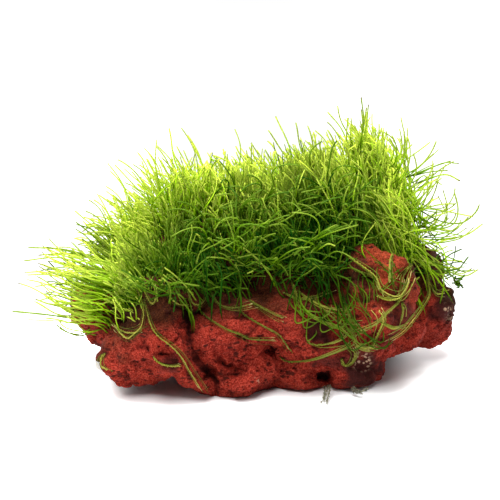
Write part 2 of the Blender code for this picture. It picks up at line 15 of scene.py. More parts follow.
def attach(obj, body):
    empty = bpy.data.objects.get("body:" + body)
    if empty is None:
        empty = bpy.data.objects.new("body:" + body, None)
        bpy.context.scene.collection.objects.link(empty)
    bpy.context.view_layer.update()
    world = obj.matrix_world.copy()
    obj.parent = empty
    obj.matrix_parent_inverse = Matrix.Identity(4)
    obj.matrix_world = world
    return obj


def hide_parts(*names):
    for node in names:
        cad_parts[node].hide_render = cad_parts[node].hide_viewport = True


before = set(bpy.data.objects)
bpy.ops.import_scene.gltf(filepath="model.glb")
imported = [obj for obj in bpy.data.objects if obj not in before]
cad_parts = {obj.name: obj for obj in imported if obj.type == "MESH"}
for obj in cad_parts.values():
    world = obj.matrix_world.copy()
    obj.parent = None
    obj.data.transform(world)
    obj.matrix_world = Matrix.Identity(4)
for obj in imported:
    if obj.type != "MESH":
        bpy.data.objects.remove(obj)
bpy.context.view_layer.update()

# The stone
# One lump of red lava, broken out of a flow. Gas bubbles burst all over it while it cooled,
# so its skin is crags, grit and pits. Moss film stains it brown and olive near the moss, and is
# painted darker there as the moss's shadow.

# A millimetre in metres, the width of the skin's squares, and the height above the ground
# over which the skin's relief comes in.
MM = 0.001
SKIN_GRAIN = 0.6
GROUND_FADE = 2.5


def unit(arrows):
    """Each arrow divided by its own length."""
    return arrows / np.linalg.norm(arrows, axis=-1, keepdims=True)


def ramp(value, low, high):
    """0 below low, 1 above high, and the curve 3 t^2 - 2 t^3 between them."""
    t = np.clip((value - low) / (high - low), 0, 1)
    return t * t * (3 - 2 * t)


def placed(name, data):
    """A new object of a mesh, lamp or camera, in the scene."""
    made = bpy.data.objects.new(name, data)
    bpy.context.scene.collection.objects.link(made)
    return made


def cell_number(cell, seed):
    """A steady random number from 0 to 1 for each cell of a grid: the cell's three whole
    numbers, each times a large prime, added up and stirred by shifts and products."""
    key = cell.astype(np.int64) @ np.array((73856093, 19349663, 83492791)) + seed * 7919
    key = key & 0xFFFFFFFF
    for _ in range(2):
        key = ((key >> 16) ^ key) * 73244475 & 0xFFFFFFFF
    return ((key >> 16) ^ key) / 0xFFFFFFFF


def cell_numbers(cell, seed):
    """Three such numbers for each cell."""
    return np.stack([cell_number(cell, seed + axis) for axis in range(3)], axis=1)


def soft_noise(at, size, seed):
    """Smooth noise from -1 to 1: random numbers at the corners of cells of that size, joined
    in each direction by the curve 3 t^2 - 2 t^3."""
    spot = at / size
    cell = np.floor(spot)
    t = spot - cell
    t = t * t * (3 - 2 * t)
    total = np.zeros(len(at))
    for corner in product((0, 1), repeat=3):
        share = np.prod(np.where(corner, t, 1 - t), axis=1)
        total += share * cell_number(cell + corner, seed)
    return total * 2 - 1


def soft_push(at, size, seed, ways=3):
    """A smooth random push of each place, a soft noise for each of the ways."""
    return np.stack([soft_noise(at, size, seed + way) for way in range(ways)], axis=1)


def bubbles(at, size, seed, share):
    """How deep each place lies in a burst bubble, from 0 at the rim to 1 in the middle. Each
    cell of that size has a ball somewhere in it, a share of them burst, and a place at r of
    the radius has the depth 1 - r^2."""
    cell = np.floor(at / size)
    depth = np.zeros(len(at))
    for step in product((-1, 0, 1), repeat=3):
        near = cell + step
        radius = size * (0.22 + 0.26 * cell_number(near, seed + 3))
        reach = np.linalg.norm(at - (near + cell_numbers(near, seed)) * size, axis=1) / radius
        burst = cell_number(near, seed + 4) < share
        depth = np.maximum(depth, (1 - reach**2) * burst)
    return depth


def chunks(at, size, seed):
    """Broken facets. Each place belongs to the nearest of many scattered points, one a cell,
    and its height is the way from that point times the point's own random tilt. The second
    result is 1 where the facets of two points meet and falls to 0 beside it."""
    cell = np.floor(at / size)
    nearest = np.full(len(at), np.inf)
    second = np.full(len(at), np.inf)
    height = np.zeros(len(at))
    for step in product((-1, 0, 1), repeat=3):
        near = cell + step
        tilt = cell_numbers(near, seed + 3) * 2 - 1
        away = at / size - near - cell_numbers(near, seed)
        far = np.linalg.norm(away, axis=1)
        second = np.where(far < nearest, nearest, np.minimum(second, far))
        height = np.where(far < nearest, (away * tilt).sum(axis=1), height)
        nearest = np.minimum(nearest, far)
    return height, 1 - ramp(second - nearest, 0, 0.16)


def numbers(items, name, width):
    """One number list of each item, as rows of an array."""
    found = np.empty(len(items) * width, np.float32)
    items.foreach_get(name, found)
    return found.reshape(-1, width).astype(float)


def even_skin(source, grain):
    """A closed mesh of even squares around a solid, each about as wide as the grain."""
    copy = placed("copy", source.data.copy())
    weld = copy.modifiers.new("weld", "WELD")
    weld.merge_threshold = 0.001 * MM
    skin = copy.modifiers.new("skin", "REMESH")
    skin.mode = "VOXEL"
    skin.voxel_size = grain * MM
    graph = bpy.context.evaluated_depsgraph_get()
    mesh = bpy.data.meshes.new_from_object(copy.evaluated_get(graph))
    bpy.data.objects.remove(copy)
    return mesh


# The moss covers the stone above this edge, along the front and along the back.
FRONT_EDGE_X = (-58, -46, -40, -34, -30, -15, 0, 15, 24, 30, 48, 52, 64)
FRONT_EDGE_Z = (22, 22, 20, 22, 29, 30, 32, 33, 31, 36, 36, 32, 31)
BACK_EDGE_Z = 20
EDGE_WIDTH = 10
BARE_BOULDER = (38.3, -21.8)
BARE_BOULDER_RADIUS = 12


def height_in_moss(at):
    """How far a place is above the moss's edge, in widths of the edge, and below 0 on the
    bare boulder. The edge goes from the front's line to the back's over 20 mm of depth, and
    ripples by 3 mm."""
    front = np.interp(at[:, 0], FRONT_EDGE_X, FRONT_EDGE_Z)
    edge = front + (BACK_EDGE_Z - front) * np.clip((at[:, 1] + 7.8) / 20, 0, 1)
    height = (at[:, 2] + 3 * soft_noise(at, 9, 5) - edge) / EDGE_WIDTH
    from_boulder = np.linalg.norm(at[:, :2] - BARE_BOULDER, axis=1) / BARE_BOULDER_RADIUS
    return np.minimum(height, 2 * (from_boulder - 1))


def moss_cover(at):
    """0 on bare stone, 1 well inside the moss."""
    return np.clip(height_in_moss(at), 0, 1)


# The front is described as it is seen from here. Across and up are distances from the
# middle of the object, on the plane through it that faces the eye.
EYE = np.array((0.34, -488.9, 156.3))
MIDDLE = np.array((0.34, -3.8, 35.3))
SIGHT = unit(MIDDLE - EYE)
UPWARD = np.cross((1, 0, 0), SIGHT)

# Cracks and holes of the front: half the width, how much deeper than in the solid each is,
# and the places that it passes.
CRACKS = [
    (1.3, 2.0, [(-19.8, -18.6), (-18.9, -22.5), (-18.3, -27), (-17.4, -30.6), (-15.3, -34.2),
                (-12.9, -36)]),
    (1.0, 1.4, [(-21.7, -17.6), (-17, -18.3), (-13.9, -18.5)]),
    (0.8, 1.2, [(-14.1, -35.4), (-11.4, -37.8), (-10.2, -40.8), (-9.9, -43.8)]),
    (0.5, 1.0, [(-9.6, -32.4), (-8.4, -34.2), (-5.1, -34.8), (-2.7, -36)]),
    (0.4, 1.0, [(-8.7, -37.8), (-5.4, -36.9), (-2.4, -37.2)]),
    (0.6, 1.6, [(6, -29.4), (7.2, -30)]),
    (0.5, 1.4, [(2.1, -36.3), (2.7, -36.6)]),
    (0.5, 1.4, [(5.1, -34.5), (5.7, -34.8)]),
    (1.1, 2.6, [(20.9, -37.8), (22.9, -38.1)]),
    (0.4, 1.0, [(-34.9, -30), (-34.3, -30.2)]),
    (0.45, 1.2, [(-30.6, -29), (-30.2, -30)]),
    (0.4, 1.2, [(-26.6, -31), (-24.2, -31.8)]),
    (0.5, 1.2, [(-37.2, -36), (-36.8, -37.2)]),
    (0.7, 1.6, [(34.9, -7.8), (36.4, -9.2)]),
    (0.8, 1.8, [(46.5, -8.4), (46.8, -10.2)]),
    (0.6, 1.5, [(50.1, -28.8), (51.2, -29.2)]),
    (0.5, 1.3, [(12.6, -35.4), (14, -35.8)]),
    (0.45, 1.2, [(-3.9, -25.6), (-1.8, -26.6), (0.8, -26.8)]),
    (0.45, 1.2, [(-21.3, -25), (-22.6, -27.6), (-25.2, -28.6)]),
]


def as_seen(at):
    """Across and up of places: the line from the eye to each is drawn on to the plane through
    MIDDLE, which is as far from the eye along SIGHT as MIDDLE is."""
    ray = at - EYE
    reach = ((MIDDLE - EYE) @ SIGHT) / (ray @ SIGHT)
    spot = EYE + ray * reach[:, None] - MIDDLE
    return np.stack((spot[:, 0], spot @ UPWARD), axis=1)


def off_line(spots, line):
    """How far each spot is from a bent line: the least distance to any of its straight runs."""
    least = np.full(len(spots), np.inf)
    for a, b in zip(np.array(line)[:-1], np.array(line)[1:]):
        along = np.clip((spots - a) @ (b - a) / ((b - a) @ (b - a)), 0, 1)
        least = np.minimum(least, np.linalg.norm(spots - a - along[:, None] * (b - a), axis=1))
    return least


def carved(at, outward):
    """How deep the front is cut at each place: by the deepest crack over it, with steep walls
    that waver a little."""
    ragged = as_seen(at) + 0.45 * soft_push(at, 1.6, 50, 2)
    crack = np.zeros(len(at))
    for half, depth, line in CRACKS:
        inside = 1 - ramp(off_line(ragged, line), 0.35 * half, 1.15 * half)
        crack = np.maximum(crack, depth * inside)
    return crack * ramp(-(outward * unit(at - EYE)).sum(axis=1), 0.05, 0.4)


# The skin's patterns, and its relief. Each pattern's factor there is its height in mm.
stone_mesh = even_skin(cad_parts["lava_stone"], SKIN_GRAIN)
at = numbers(stone_mesh.vertices, "co", 3) / MM
outward = numbers(stone_mesh.vertices, "normal", 3)
crag = 1 - 2 * np.abs(soft_noise(at, 5.5, 1))
crumble = 1 - 2 * np.abs(soft_noise(at, 2.3, 2))
grit = soft_noise(at, 1.2, 3)
hollows = bubbles(at, 6.5, 10, 0.25)
pits = bubbles(at * (0.7, 0.7, 1.2), 2.6, 20, 0.4)
pores = bubbles(at * (0.8, 0.8, 1.2), 1.5, 30, 0.55)
bent = at + 1.1 * soft_push(at, 2.6, 60)
facets, seams = chunks(bent * (1, 1, 1.25), 8.0, 70)
chips, chip_seams = chunks(bent * (1, 1, 1.3), 3.1, 80)
relief = 1.0 * facets + 0.4 * chips - 0.35 * seams - 0.2 * chip_seams
relief += 0.35 * crag + 0.3 * crumble + 0.28 * grit - 0.8 * hollows - 0.7 * pits - 0.4 * pores
above_ground = ramp(at[:, 2], 0, GROUND_FADE)
crack = carved(at, outward)
at += (outward * (relief + 0.15)[:, None] + SIGHT * crack[:, None]) * above_ground[:, None]
at[:, 2] = np.maximum(at[:, 2], 0)
stone_mesh.vertices.foreach_set("co", (at * MM).astype(np.float32).ravel())
stone_mesh.update()
stone_mesh.calc_loop_triangles()
stone_corners = at
stone_faces = numbers(stone_mesh.loop_triangles, "vertices", 3).astype(int)

# How deep each place lies, for the painted shade in the hollows, pits, pores, cracks and seams,
# and the stains as shares from 0 to 1, for the material. Pale crumbs and soot lie in round spots
# of the front, each with its across, up and radius, and some of the soot spots are painted shade
# in hollows and the cleft. Olive dust lies on the boulder.
CRUMB_SPOTS = ((33.6, -33.4, 3.4), (59.0, -17.5, 1.8), (59.8, -20.5, 1.2), (2, -39, 1.0))
# Some of these soot spots, in the hollows and the cleft, are painted shade.
SOOT_AND_SHADE_SPOTS = ((33.8, -36, 7.5), (60, -17.5, 6.5), (21, -24, 5), (-37.5, -16, 5.5), (-18, -19, 3))
BOULDER_MIDDLE = (37, -19, 31)


def in_spots(spots, waver, end):
    """1 inside the spots up to half their radius, falling to 0 at end times the radius. The
    waver is added to the way from the middle, in radii."""
    share = np.zeros(len(at))
    for across, up, radius in spots:
        away = np.linalg.norm(as_seen(at) - (across, up), axis=1) / radius
        share = np.maximum(share, 1 - ramp(away + waver, 0.5, end))
    return share


# Painted shade: darker in the hollows, pits, pores, cracks and seams, less on raised facets, chips
# and grit.
painted_hollow_shade = 0.3 * hollows + 0.55 * pits + 0.4 * pores + 0.45 * crack + 0.3 * seams + 0.2 * chip_seams
painted_hollow_shade -= 0.3 * facets + 0.25 * chips + 0.2 * grit + 0.1
# The moss film near the moss's edge, with painted shadow of the moss.
film_and_moss_shadow = ramp(height_in_moss(at) + 0.3 * soft_noise(at, 4, 42), -1.2, -0.25)
clouds = ramp(soft_noise(at, 11, 40) + 0.35 * soft_noise(at, 3, 41), 0.28, 0.8)
stains = {
    "painted_hollow_shade": painted_hollow_shade,
    "film_and_moss_shadow": film_and_moss_shadow * (0.4 + 0.6 * ramp(at[:, 0], -46, -34)),
    "boulder": 1 - ramp(np.linalg.norm(at - BOULDER_MIDDLE, axis=1), 5, 20),
    "soot_and_hollow_shade": np.maximum(0.8 * clouds, in_spots(SOOT_AND_SHADE_SPOTS, 0.35 * soft_noise(at, 2.5, 43), 1.15)),
    "pale": in_spots(CRUMB_SPOTS, 0, 1.1),
}
for name, value in stains.items():
    layer = stone_mesh.attributes.new(name, "FLOAT", "POINT")
    layer.data.foreach_set("value", value.astype(np.float32))


def node(tree, kind, feeds, **settings):
    """A new node. Its settings are its own properties, and each feed is a number, a colour
    or another node's output, by the name or number of the input that takes it."""
    made = tree.nodes.new(kind)
    for name, value in settings.items():
        setattr(made, name, value)
    for name, value in feeds.items():
        if isinstance(value, bpy.types.NodeSocket):
            tree.links.new(value, made.inputs[name])
        else:
            made.inputs[name].default_value = value
    return made


def math(tree, operation, *values):
    """One step of arithmetic on numbers or outputs."""
    return node(tree, "ShaderNodeMath", dict(enumerate(values)), operation=operation).outputs[0]


def mixed(tree, amount, first, second, blend="MIX"):
    """The first colour with an amount of the second in it."""
    feeds = {0: amount, 6: first, 7: second}
    return node(tree, "ShaderNodeMix", feeds, data_type="RGBA", blend_type=blend).outputs[2]


def eased(tree, value, low, high):
    """0 below low, 1 above high, and a smooth step between them."""
    feeds = {0: value, 1: low, 2: high, 3: 0.0, 4: 1.0}
    return node(tree, "ShaderNodeMapRange", feeds, interpolation_type="SMOOTHSTEP").outputs[0]


def noise(tree, place, scale, detail, roughness=0.5):
    """The outputs of a noise texture on the places: a number, and a colour."""
    feeds = {"Vector": place, "Scale": scale, "Detail": detail, "Roughness": roughness}
    return node(tree, "ShaderNodeTexNoise", feeds).outputs


def colour(red, green, blue):
    """An opaque colour for a socket."""
    return (red, green, blue, 1.0)


def stained(tree, under, stain, strength, paint):
    """The colour under a stain, with the paint in it as far as the stain goes."""
    share = node(tree, "ShaderNodeAttribute", {}, attribute_name=stain).outputs["Fac"]
    return mixed(tree, math(tree, "MULTIPLY", share, strength), under, paint)


def new_material(name, roughness, gloss):
    """A new material of that roughness and specular level, its node tree and its shader."""
    made = bpy.data.materials.new(name)
    made.use_nodes = True
    shader = made.node_tree.nodes["Principled BSDF"]
    shader.inputs["Roughness"].default_value = roughness
    shader.inputs["Specular IOR Level"].default_value = gloss
    return made, made.node_tree, shader


DARK_BRICK, BRICK = colour(0.25, 0.013, 0.006), colour(0.36, 0.027, 0.013)
DARK_GRAIN, LIGHT_GRAIN = colour(0.105, 0.007, 0.003), colour(0.45, 0.058, 0.033)
OLIVE_DUST = colour(0.19, 0.065, 0.006)
# Soot, also used as painted shade in hollows and the cleft.
SOOT_AND_SHADE = colour(0.030, 0.008, 0.007)
# Moss film, painted dark as the shadow under the moss.
DARK_FILM_AND_SHADOW, LIGHT_FILM_AND_SHADOW = colour(0.018, 0.008, 0.001), colour(0.070, 0.028, 0.005)
# Painted shade for the hollows and for the pores.
HOLLOW_SHADE, PORE_SHADE = colour(0.030, 0.005, 0.004), colour(0.040, 0.006, 0.003)
DARK_CRUMB, LIGHT_CRUMB = colour(0.12, 0.05, 0.025), colour(0.85, 0.55, 0.36)

# Grains of two tones on patches of brick red, with stretched pores that vary in width and come in
# crowds, darkened as painted shade. The stains, the painted shade of the hollows and the crumbs
# follow the mesh's own attributes.
red_lava, tree, shader = new_material("red_lava", 0.85, 0.1)
place = tree.nodes.new("ShaderNodeTexCoord").outputs["Object"]
stretch = {0: place, 1: (0.6, 0.6, 1.3)}
flat = node(tree, "ShaderNodeVectorMath", stretch, operation="MULTIPLY").outputs[0]
bends = {0: noise(tree, place, 900.0, 2.0)[1], 1: (0.0012,) * 3, 2: flat}
bent_place = node(tree, "ShaderNodeVectorMath", bends, operation="MULTIPLY_ADD").outputs[0]
holes = node(tree, "ShaderNodeTexVoronoi", {"Vector": bent_place, "Scale": 760.0}).outputs
crowds = noise(tree, place, 230.0, 3.0)[0]
chosen = node(tree, "ShaderNodeSeparateXYZ", {0: holes["Color"]}).outputs[0]
width = math(tree, "MULTIPLY_ADD", crowds, 1.1, math(tree, "MULTIPLY_ADD", chosen, 0.55, -0.70))
pore = eased(tree, math(tree, "SUBTRACT", width, holes["Distance"]), -0.05, 0.06)
grains = noise(tree, place, 2100.0, 4.0, 0.8)[0]
light_grain = eased(tree, grains, 0.5, 0.59)
skin = mixed(tree, eased(tree, noise(tree, place, 160.0, 4.0)[0], 0.35, 0.65), DARK_BRICK, BRICK)
skin = mixed(tree, light_grain, skin, LIGHT_GRAIN)
skin = mixed(tree, eased(tree, grains, 0.5, 0.40), skin, DARK_GRAIN)
skin = stained(tree, skin, "boulder", 0.28, OLIVE_DUST)
# Soot stains, with painted shade in the hollows and the cleft.
skin = stained(tree, skin, "soot_and_hollow_shade", 0.9, SOOT_AND_SHADE)
# Moss film, with the moss's painted shadow over it.
skin = stained(tree, skin, "film_and_moss_shadow", 0.88, mixed(tree, light_grain, DARK_FILM_AND_SHADOW, LIGHT_FILM_AND_SHADOW))
# Painted shade: the deeper a place lies, the nearer to black it is painted.
depth = node(tree, "ShaderNodeAttribute", {}, attribute_name="painted_hollow_shade").outputs["Fac"]
skin = mixed(tree, math(tree, "MULTIPLY", eased(tree, depth, 0.1, 1.0), 0.85), skin, HOLLOW_SHADE)
# Painted shade in the pores.
skin = mixed(tree, math(tree, "MULTIPLY", pore, 0.85), skin, PORE_SHADE)
lumps = node(tree, "ShaderNodeTexVoronoi", {"Vector": place, "Scale": 760.0}).outputs["Distance"]
lump = eased(tree, lumps, 0.5, 0.3)
skin = stained(tree, skin, "pale", lump, mixed(tree, grains, DARK_CRUMB, LIGHT_CRUMB))
tree.links.new(skin, shader.inputs["Base Color"])
crags = noise(tree, flat, 620.0, 6.0, 0.7)[0]
rough_skin = math(tree, "SUBTRACT", grains, math(tree, "MULTIPLY", pore, 0.9))
rough_skin = math(tree, "MULTIPLY_ADD", crags, 2.2, rough_skin)
bump = node(tree, "ShaderNodeBump", {"Height": rough_skin, "Strength": 1.0, "Distance": 0.0007})
tree.links.new(bump.outputs[0], shader.inputs["Normal"])

stone_mesh.materials.clear()
stone_mesh.materials.append(red_lava)
stone_mesh.polygons.foreach_set("use_smooth", np.ones(len(stone_mesh.polygons), bool))
stone = placed("rough_stone", stone_mesh)
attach(stone, "root")
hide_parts("lava_stone")

# The moss
# Thousands of thin stems with scale-like leaves, which hold on to the stone with their feet.
# They stand upright on top, lean out at the sides, and end in bright, slightly brown tips.

# The middle of each clump in plan, as it was modelled, and how far the finished part's frame
# is shifted from that.
CLUMPS = {
    "moss_left": (-38, 6),
    "moss_left_front": (-21, -10),
    "moss_left_back": (-22, 27),
    "moss_middle": (-4, 10),
    "moss_front": (9, -14),
    "moss_back": (8, 33),
    "moss_peak": (27, 6),
    "moss_right": (49, 9),
    "moss_right_back": (37, 29),
}
CLUMP_SHIFT = (0.344, -3.787)

# How far the stems lean to the side by their place along X, on top and along the front, and
# how far to the back by their place along Y. Their length goes by their place along X.
LEAN_X = (-50, -42, -34, -24, -12, 2, 15, 26, 34, 41, 46, 52, 58)
LEAN_SIDE = (-1.6, -1.1, -0.75, -0.45, -0.3, -0.3, -0.38, -0.35, -0.25, 0.0, 0.35, 0.8, 1.3)
LEAN_FRONT = (-1.5, -1.0, -0.5, -0.15, -0.05, 0.0, -0.15, -0.3, -0.35, -0.2, 0.0, 0.5, 1.1)
LEAN_Y = (-36, -24, -9, 6, 21, 38)
LEAN_DEPTH = (-0.35, -0.15, -0.05, 0.05, 0.5, 1.0)
LENGTH_X = (-50, -38, -28, -10, 15, 28, 34, 42, 48, 60)
LENGTH = (12, 15, 20, 23, 23, 27, 34, 26, 14, 10)

# The radius of the inner stems and of the shoots, the lowest that any comes, and the number
# of tones that they are sorted into.
STRAND_RADIUS = 0.18
LOOSE_RADIUS = 0.235
LOWEST = 0.1
TONES = 64
moss_rng = np.random.default_rng(5)


def strewn(*shape):
    """Random numbers around 0, most of them within 1 of it, drawn for the moss."""
    return moss_rng.normal(size=shape)


def between(low, high, *shape):
    """Random numbers from low to high, drawn for the moss."""
    return moss_rng.uniform(low, high, shape)


def strand_flow(at):
    """The way the moss grows from a place: it leans to the sides by the place along X and
    to the front and back along Y, and the more upright the further inside the moss."""
    front = ramp(-at[:, 1], -26, -8)
    side = np.interp(at[:, 0], LEAN_X, LEAN_SIDE) * (1 - front)
    side += np.interp(at[:, 0], LEAN_X, LEAN_FRONT) * front
    depth = np.interp(at[:, 1], LEAN_Y, LEAN_DEPTH)
    return unit(np.stack((side, depth, 0.3 + 0.8 * moss_cover(at)), axis=1))


def strand_length(at):
    """The length at the place's X, shorter near the moss's edge and at the back."""
    length = np.interp(at[:, 0], LENGTH_X, LENGTH) * (0.7 + 0.3 * moss_cover(at))
    return length * (1 - 0.25 * np.clip((at[:, 1] - 12.5) / 20, 0, 1))


def grown(feet, start, end, length, steps, wiggle, rng):
    """Paths that start at the feet and turn evenly from one direction to the other: the
    direction at t is start (1 - t) + end t plus a wave across it, and the path is its sum.
    The last step is short, so that the tip is blunt."""
    t = np.linspace(0, 1, steps - 1)[None, :, None]
    phase = rng.uniform(0, 2 * np.pi, (len(feet), 1, 1))
    across = unit(np.cross(start, rng.normal(size=start.shape)))[:, None]
    wave = across * np.sin(phase + t * rng.uniform(3, 7, (len(feet), 1, 1))) * wiggle
    heading = unit(start[:, None] * (1 - t) + end[:, None] * t + wave)
    run = np.cumsum(heading, axis=1) * (length / (steps - 1))[:, None, None]
    path = np.concatenate((feet[:, None], feet[:, None] + run), axis=1)
    path[:, -1] = path[:, -2] * 0.8 + path[:, -1] * 0.2
    return path


def tubes(paths, radii, sides, rng):
    """Corners and triangles of many round strands. A ring of corners stands around each place
    of a path but the first and last: place + radius (first cos a + second sin a), with first
    and second square to the path. The end places are single corners, which close it. The
    third and fourth results are each triangle corner's turn around and step along."""
    count, steps, _ = paths.shape
    along = unit(np.gradient(paths, axis=1))
    side = unit(np.cross(paths[:, -1] - paths[:, 0], rng.normal(size=(count, 3))))[:, None]
    first = unit(side - along * (side * along).sum(axis=2, keepdims=True))
    second = np.cross(along, first)
    angle = (2 * np.pi * np.arange(sides) / sides)[:, None]
    ring = first[:, 1:-1, None] * np.cos(angle) + second[:, 1:-1, None] * np.sin(angle)
    rings = paths[:, 1:-1, None] + ring * radii[:, 1:-1, None, None]
    corners = np.concatenate((paths[:, :1], rings.reshape(count, -1, 3), paths[:, -1:]), axis=1)
    here = np.arange(sides)
    after = (here + 1) % sides
    last = 1 + (steps - 2) * sides
    low = 1 + np.arange(steps - 3)[:, None] * sides
    zero = np.zeros(sides, int)
    faces = np.concatenate((
        np.stack((zero, 1 + after, 1 + here), axis=1),
        np.stack((low + here, low + after, low + sides + after), axis=2).reshape(-1, 3),
        np.stack((low + here, low + sides + after, low + sides + here), axis=2).reshape(-1, 3),
        np.stack((last - sides + here, last - sides + after, zero + last), axis=1),
    ))
    turn = here / sides
    next_turn = turn + 1 / sides
    middle = turn + 0.5 / sides
    rows = np.ones((steps - 3, 1))
    turns = np.concatenate((
        np.stack((middle, next_turn, turn), axis=1),
        np.stack((rows * turn, rows * next_turn, rows * next_turn), axis=2).reshape(-1, 3),
        np.stack((rows * turn, rows * next_turn, rows * turn), axis=2).reshape(-1, 3),
        np.stack((turn, next_turn, middle), axis=1),
    ))
    step_of = np.concatenate(((0,), np.repeat(np.arange(1, steps - 1), sides), (steps - 1,)))
    every = faces[None] + (np.arange(count) * (last + 1))[:, None, None]
    return corners.reshape(-1, 3), every.reshape(-1, 3), turns, step_of[faces] / (steps - 1)


def strand_piece(name, batches, sides, material, rng):
    """One object of several batches of strands, each (paths, radii, tones). Every strand has
    an upright column of the UV maps, chosen by its tone, from the foot up to the tip."""
    corners, faces, maps = [], [], []
    counted = 0
    for paths, radii, tones in batches:
        points, triangles, turns, steps = tubes(paths, radii, sides, rng)
        points[:, 2] = np.maximum(points[:, 2], LOWEST)
        column = np.floor(np.clip(tones, 0, 0.999) * TONES)[:, None, None]
        u = (column + 0.15 + 0.7 * turns) / TONES
        v = 0.01 + 0.98 * np.broadcast_to(steps, u.shape)
        maps.append(np.stack((u, v), axis=-1).reshape(-1, 2))
        corners.append(points)
        faces.append(triangles + counted)
        counted += len(points)
    corners, faces, uv = np.concatenate(corners), np.concatenate(faces), np.concatenate(maps)
    mesh = bpy.data.meshes.new(name)
    mesh.vertices.add(len(corners))
    mesh.vertices.foreach_set("co", (corners * MM).astype(np.float32).ravel())
    mesh.loops.add(faces.size)
    mesh.loops.foreach_set("vertex_index", faces.astype(np.int32).ravel())
    mesh.polygons.add(len(faces))
    mesh.polygons.foreach_set("loop_start", np.arange(0, faces.size, 3, dtype=np.int32))
    mesh.polygons.foreach_set("use_smooth", np.ones(len(faces), bool))
    for layer in ("strand", "OFBake"):
        mesh.uv_layers.new(name=layer).data.foreach_set("uv", uv.astype(np.float32).ravel())
    mesh.update(calc_edges=True)
    mesh.materials.append(material)
    return placed(name, mesh)


def leafy_radii(count, steps, thickness, rng):
    """The radius along each strand: its thickness, a little less at the foot and the tip,
    times a random unevenness from ring to ring, as its leaves give it."""
    t = np.linspace(0, 1, steps)
    swell = np.interp(t, (0, 0.2, 0.9, 1), (0.8, 1.0, 1.0, 0.95))
    return thickness[:, None] * swell * rng.uniform(0.88, 1.12, (count, steps))


def moss_radii(paths, thin, thick):
    """Leafy radii for shoots of the moss, from thin to thick times the usual radius."""
    count, steps, _ = paths.shape
    return leafy_radii(count, steps, LOOSE_RADIUS * between(thin, thick, count), moss_rng)


def toned(middle, spread, count, low=0.1, high=0.98):
    """Random tones around the middle, kept from low to high."""
    return np.clip(middle + spread * strewn(count), low, high)


def strand_group():
    """The colour of a strand from foot to tip, by its tone and the way along it. Old strands
    have brown ends, and every strand has faint bands where its leaves sit."""
    group = bpy.data.node_groups.new("strand_colour", "ShaderNodeTree")
    group.interface.new_socket("Place", in_out="INPUT", socket_type="NodeSocketVector")
    for name in ("Foot", "Middle", "Tip", "End"):
        group.interface.new_socket(name, in_out="INPUT", socket_type="NodeSocketColor")
    group.interface.new_socket("Color", in_out="OUTPUT", socket_type="NodeSocketColor")
    given = group.nodes.new("NodeGroupInput").outputs
    parts = node(group, "ShaderNodeSeparateXYZ", {0: given["Place"]}).outputs
    tone, along = parts[0], parts[1]
    low = mixed(group, eased(group, along, 0.0, 0.3), given["Foot"], given["Middle"])
    # A low tone darkens and greens a strand and a high one lights and yellows it: the tones that
    # the moss sets by place are painted shade and painted light.
    lit_tip_share = math(group, "MULTIPLY_ADD", eased(group, tone, 0.08, 0.45), 0.8, 0.2)
    light = math(group, "MULTIPLY", eased(group, along, 0.20, 0.80), lit_tip_share)
    body = mixed(group, light, low, given["Tip"])
    warmth = math(group, "MULTIPLY", tone, 1.6)
    shade = math(group, "MULTIPLY_ADD", tone, 1.4, 0.11)
    grey = node(group, "ShaderNodeCombineColor", {0: warmth, 1: shade, 2: shade}).outputs[0]
    body = mixed(group, 1.0, body, grey, "MULTIPLY")
    scatter = math(group, "FRACT", math(group, "MULTIPLY", tone, 37.3))
    old = math(group, "GREATER_THAN", scatter, 0.45)
    browned = math(group, "MULTIPLY", eased(group, along, 0.91, 0.96), old)
    body = mixed(group, browned, body, given["End"])
    bands = math(group, "MULTIPLY_ADD", along, 150.0, math(group, "MULTIPLY", tone, 300.0))
    dark = math(group, "MULTIPLY_ADD", math(group, "SINE", bands), 0.07, 0.08)
    body = mixed(group, dark, body, given["Foot"])
    group.links.new(body, group.nodes.new("NodeGroupOutput").inputs["Color"])
    return group


strand_colour = strand_group()


def strand_material(name, foot, middle, tip, end, glow):
    """Thin leaf with light through it: a plain shader mixed with a see-through one."""
    made, tree, shader = new_material(name, 0.55, 0.06)
    along = node(tree, "ShaderNodeUVMap", {}, uv_map="strand").outputs[0]
    feeds = {"Place": along, "Foot": foot, "Middle": middle, "Tip": tip, "End": end}
    leaf = node(tree, "ShaderNodeGroup", feeds, node_tree=strand_colour).outputs["Color"]
    tree.links.new(leaf, shader.inputs["Base Color"])
    lighter = node(tree, "ShaderNodeGamma", {"Color": leaf, "Gamma": 0.65}).outputs[0]
    through = node(tree, "ShaderNodeBsdfTranslucent", {"Color": lighter}).outputs[0]
    both = node(tree, "ShaderNodeMixShader", {0: glow, 1: shader.outputs[0], 2: through})
    tree.links.new(both.outputs[0], tree.nodes["Material Output"].inputs[0])
    return made


willow_moss = strand_material(
    "willow_moss",
    colour(0.030, 0.080, 0.002),
    colour(0.350, 0.610, 0.006),
    colour(0.600, 0.730, 0.090),
    colour(0.120, 0.090, 0.025),
    0.5,
)


def face_parts(corner):
    """The outward direction, the area (doubled) and the middle of each triangle."""
    cross = np.cross(corner[:, 1] - corner[:, 0], corner[:, 2] - corner[:, 0])
    area = np.linalg.norm(cross, axis=1)
    return cross / np.maximum(area, 1e-9)[:, None], area, corner.mean(axis=1)


def scattered(corner, chance, count):
    """Triangles drawn by chance, and a random place on each, by three random shares of its
    corners."""
    drawn = moss_rng.choice(len(chance), count, p=chance / chance.sum())
    share = moss_rng.dirichlet((1, 1, 1), count)
    return drawn, (corner[drawn] * share[:, :, None]).sum(axis=1)


def tangle_at(at):
    """1 over the middle of the front, where the strands cross each other, and 0 around it."""
    return ramp(-at[:, 1], 0, 14) * ramp(at[:, 0], -22, -4) * (1 - ramp(at[:, 0], 34, 44))


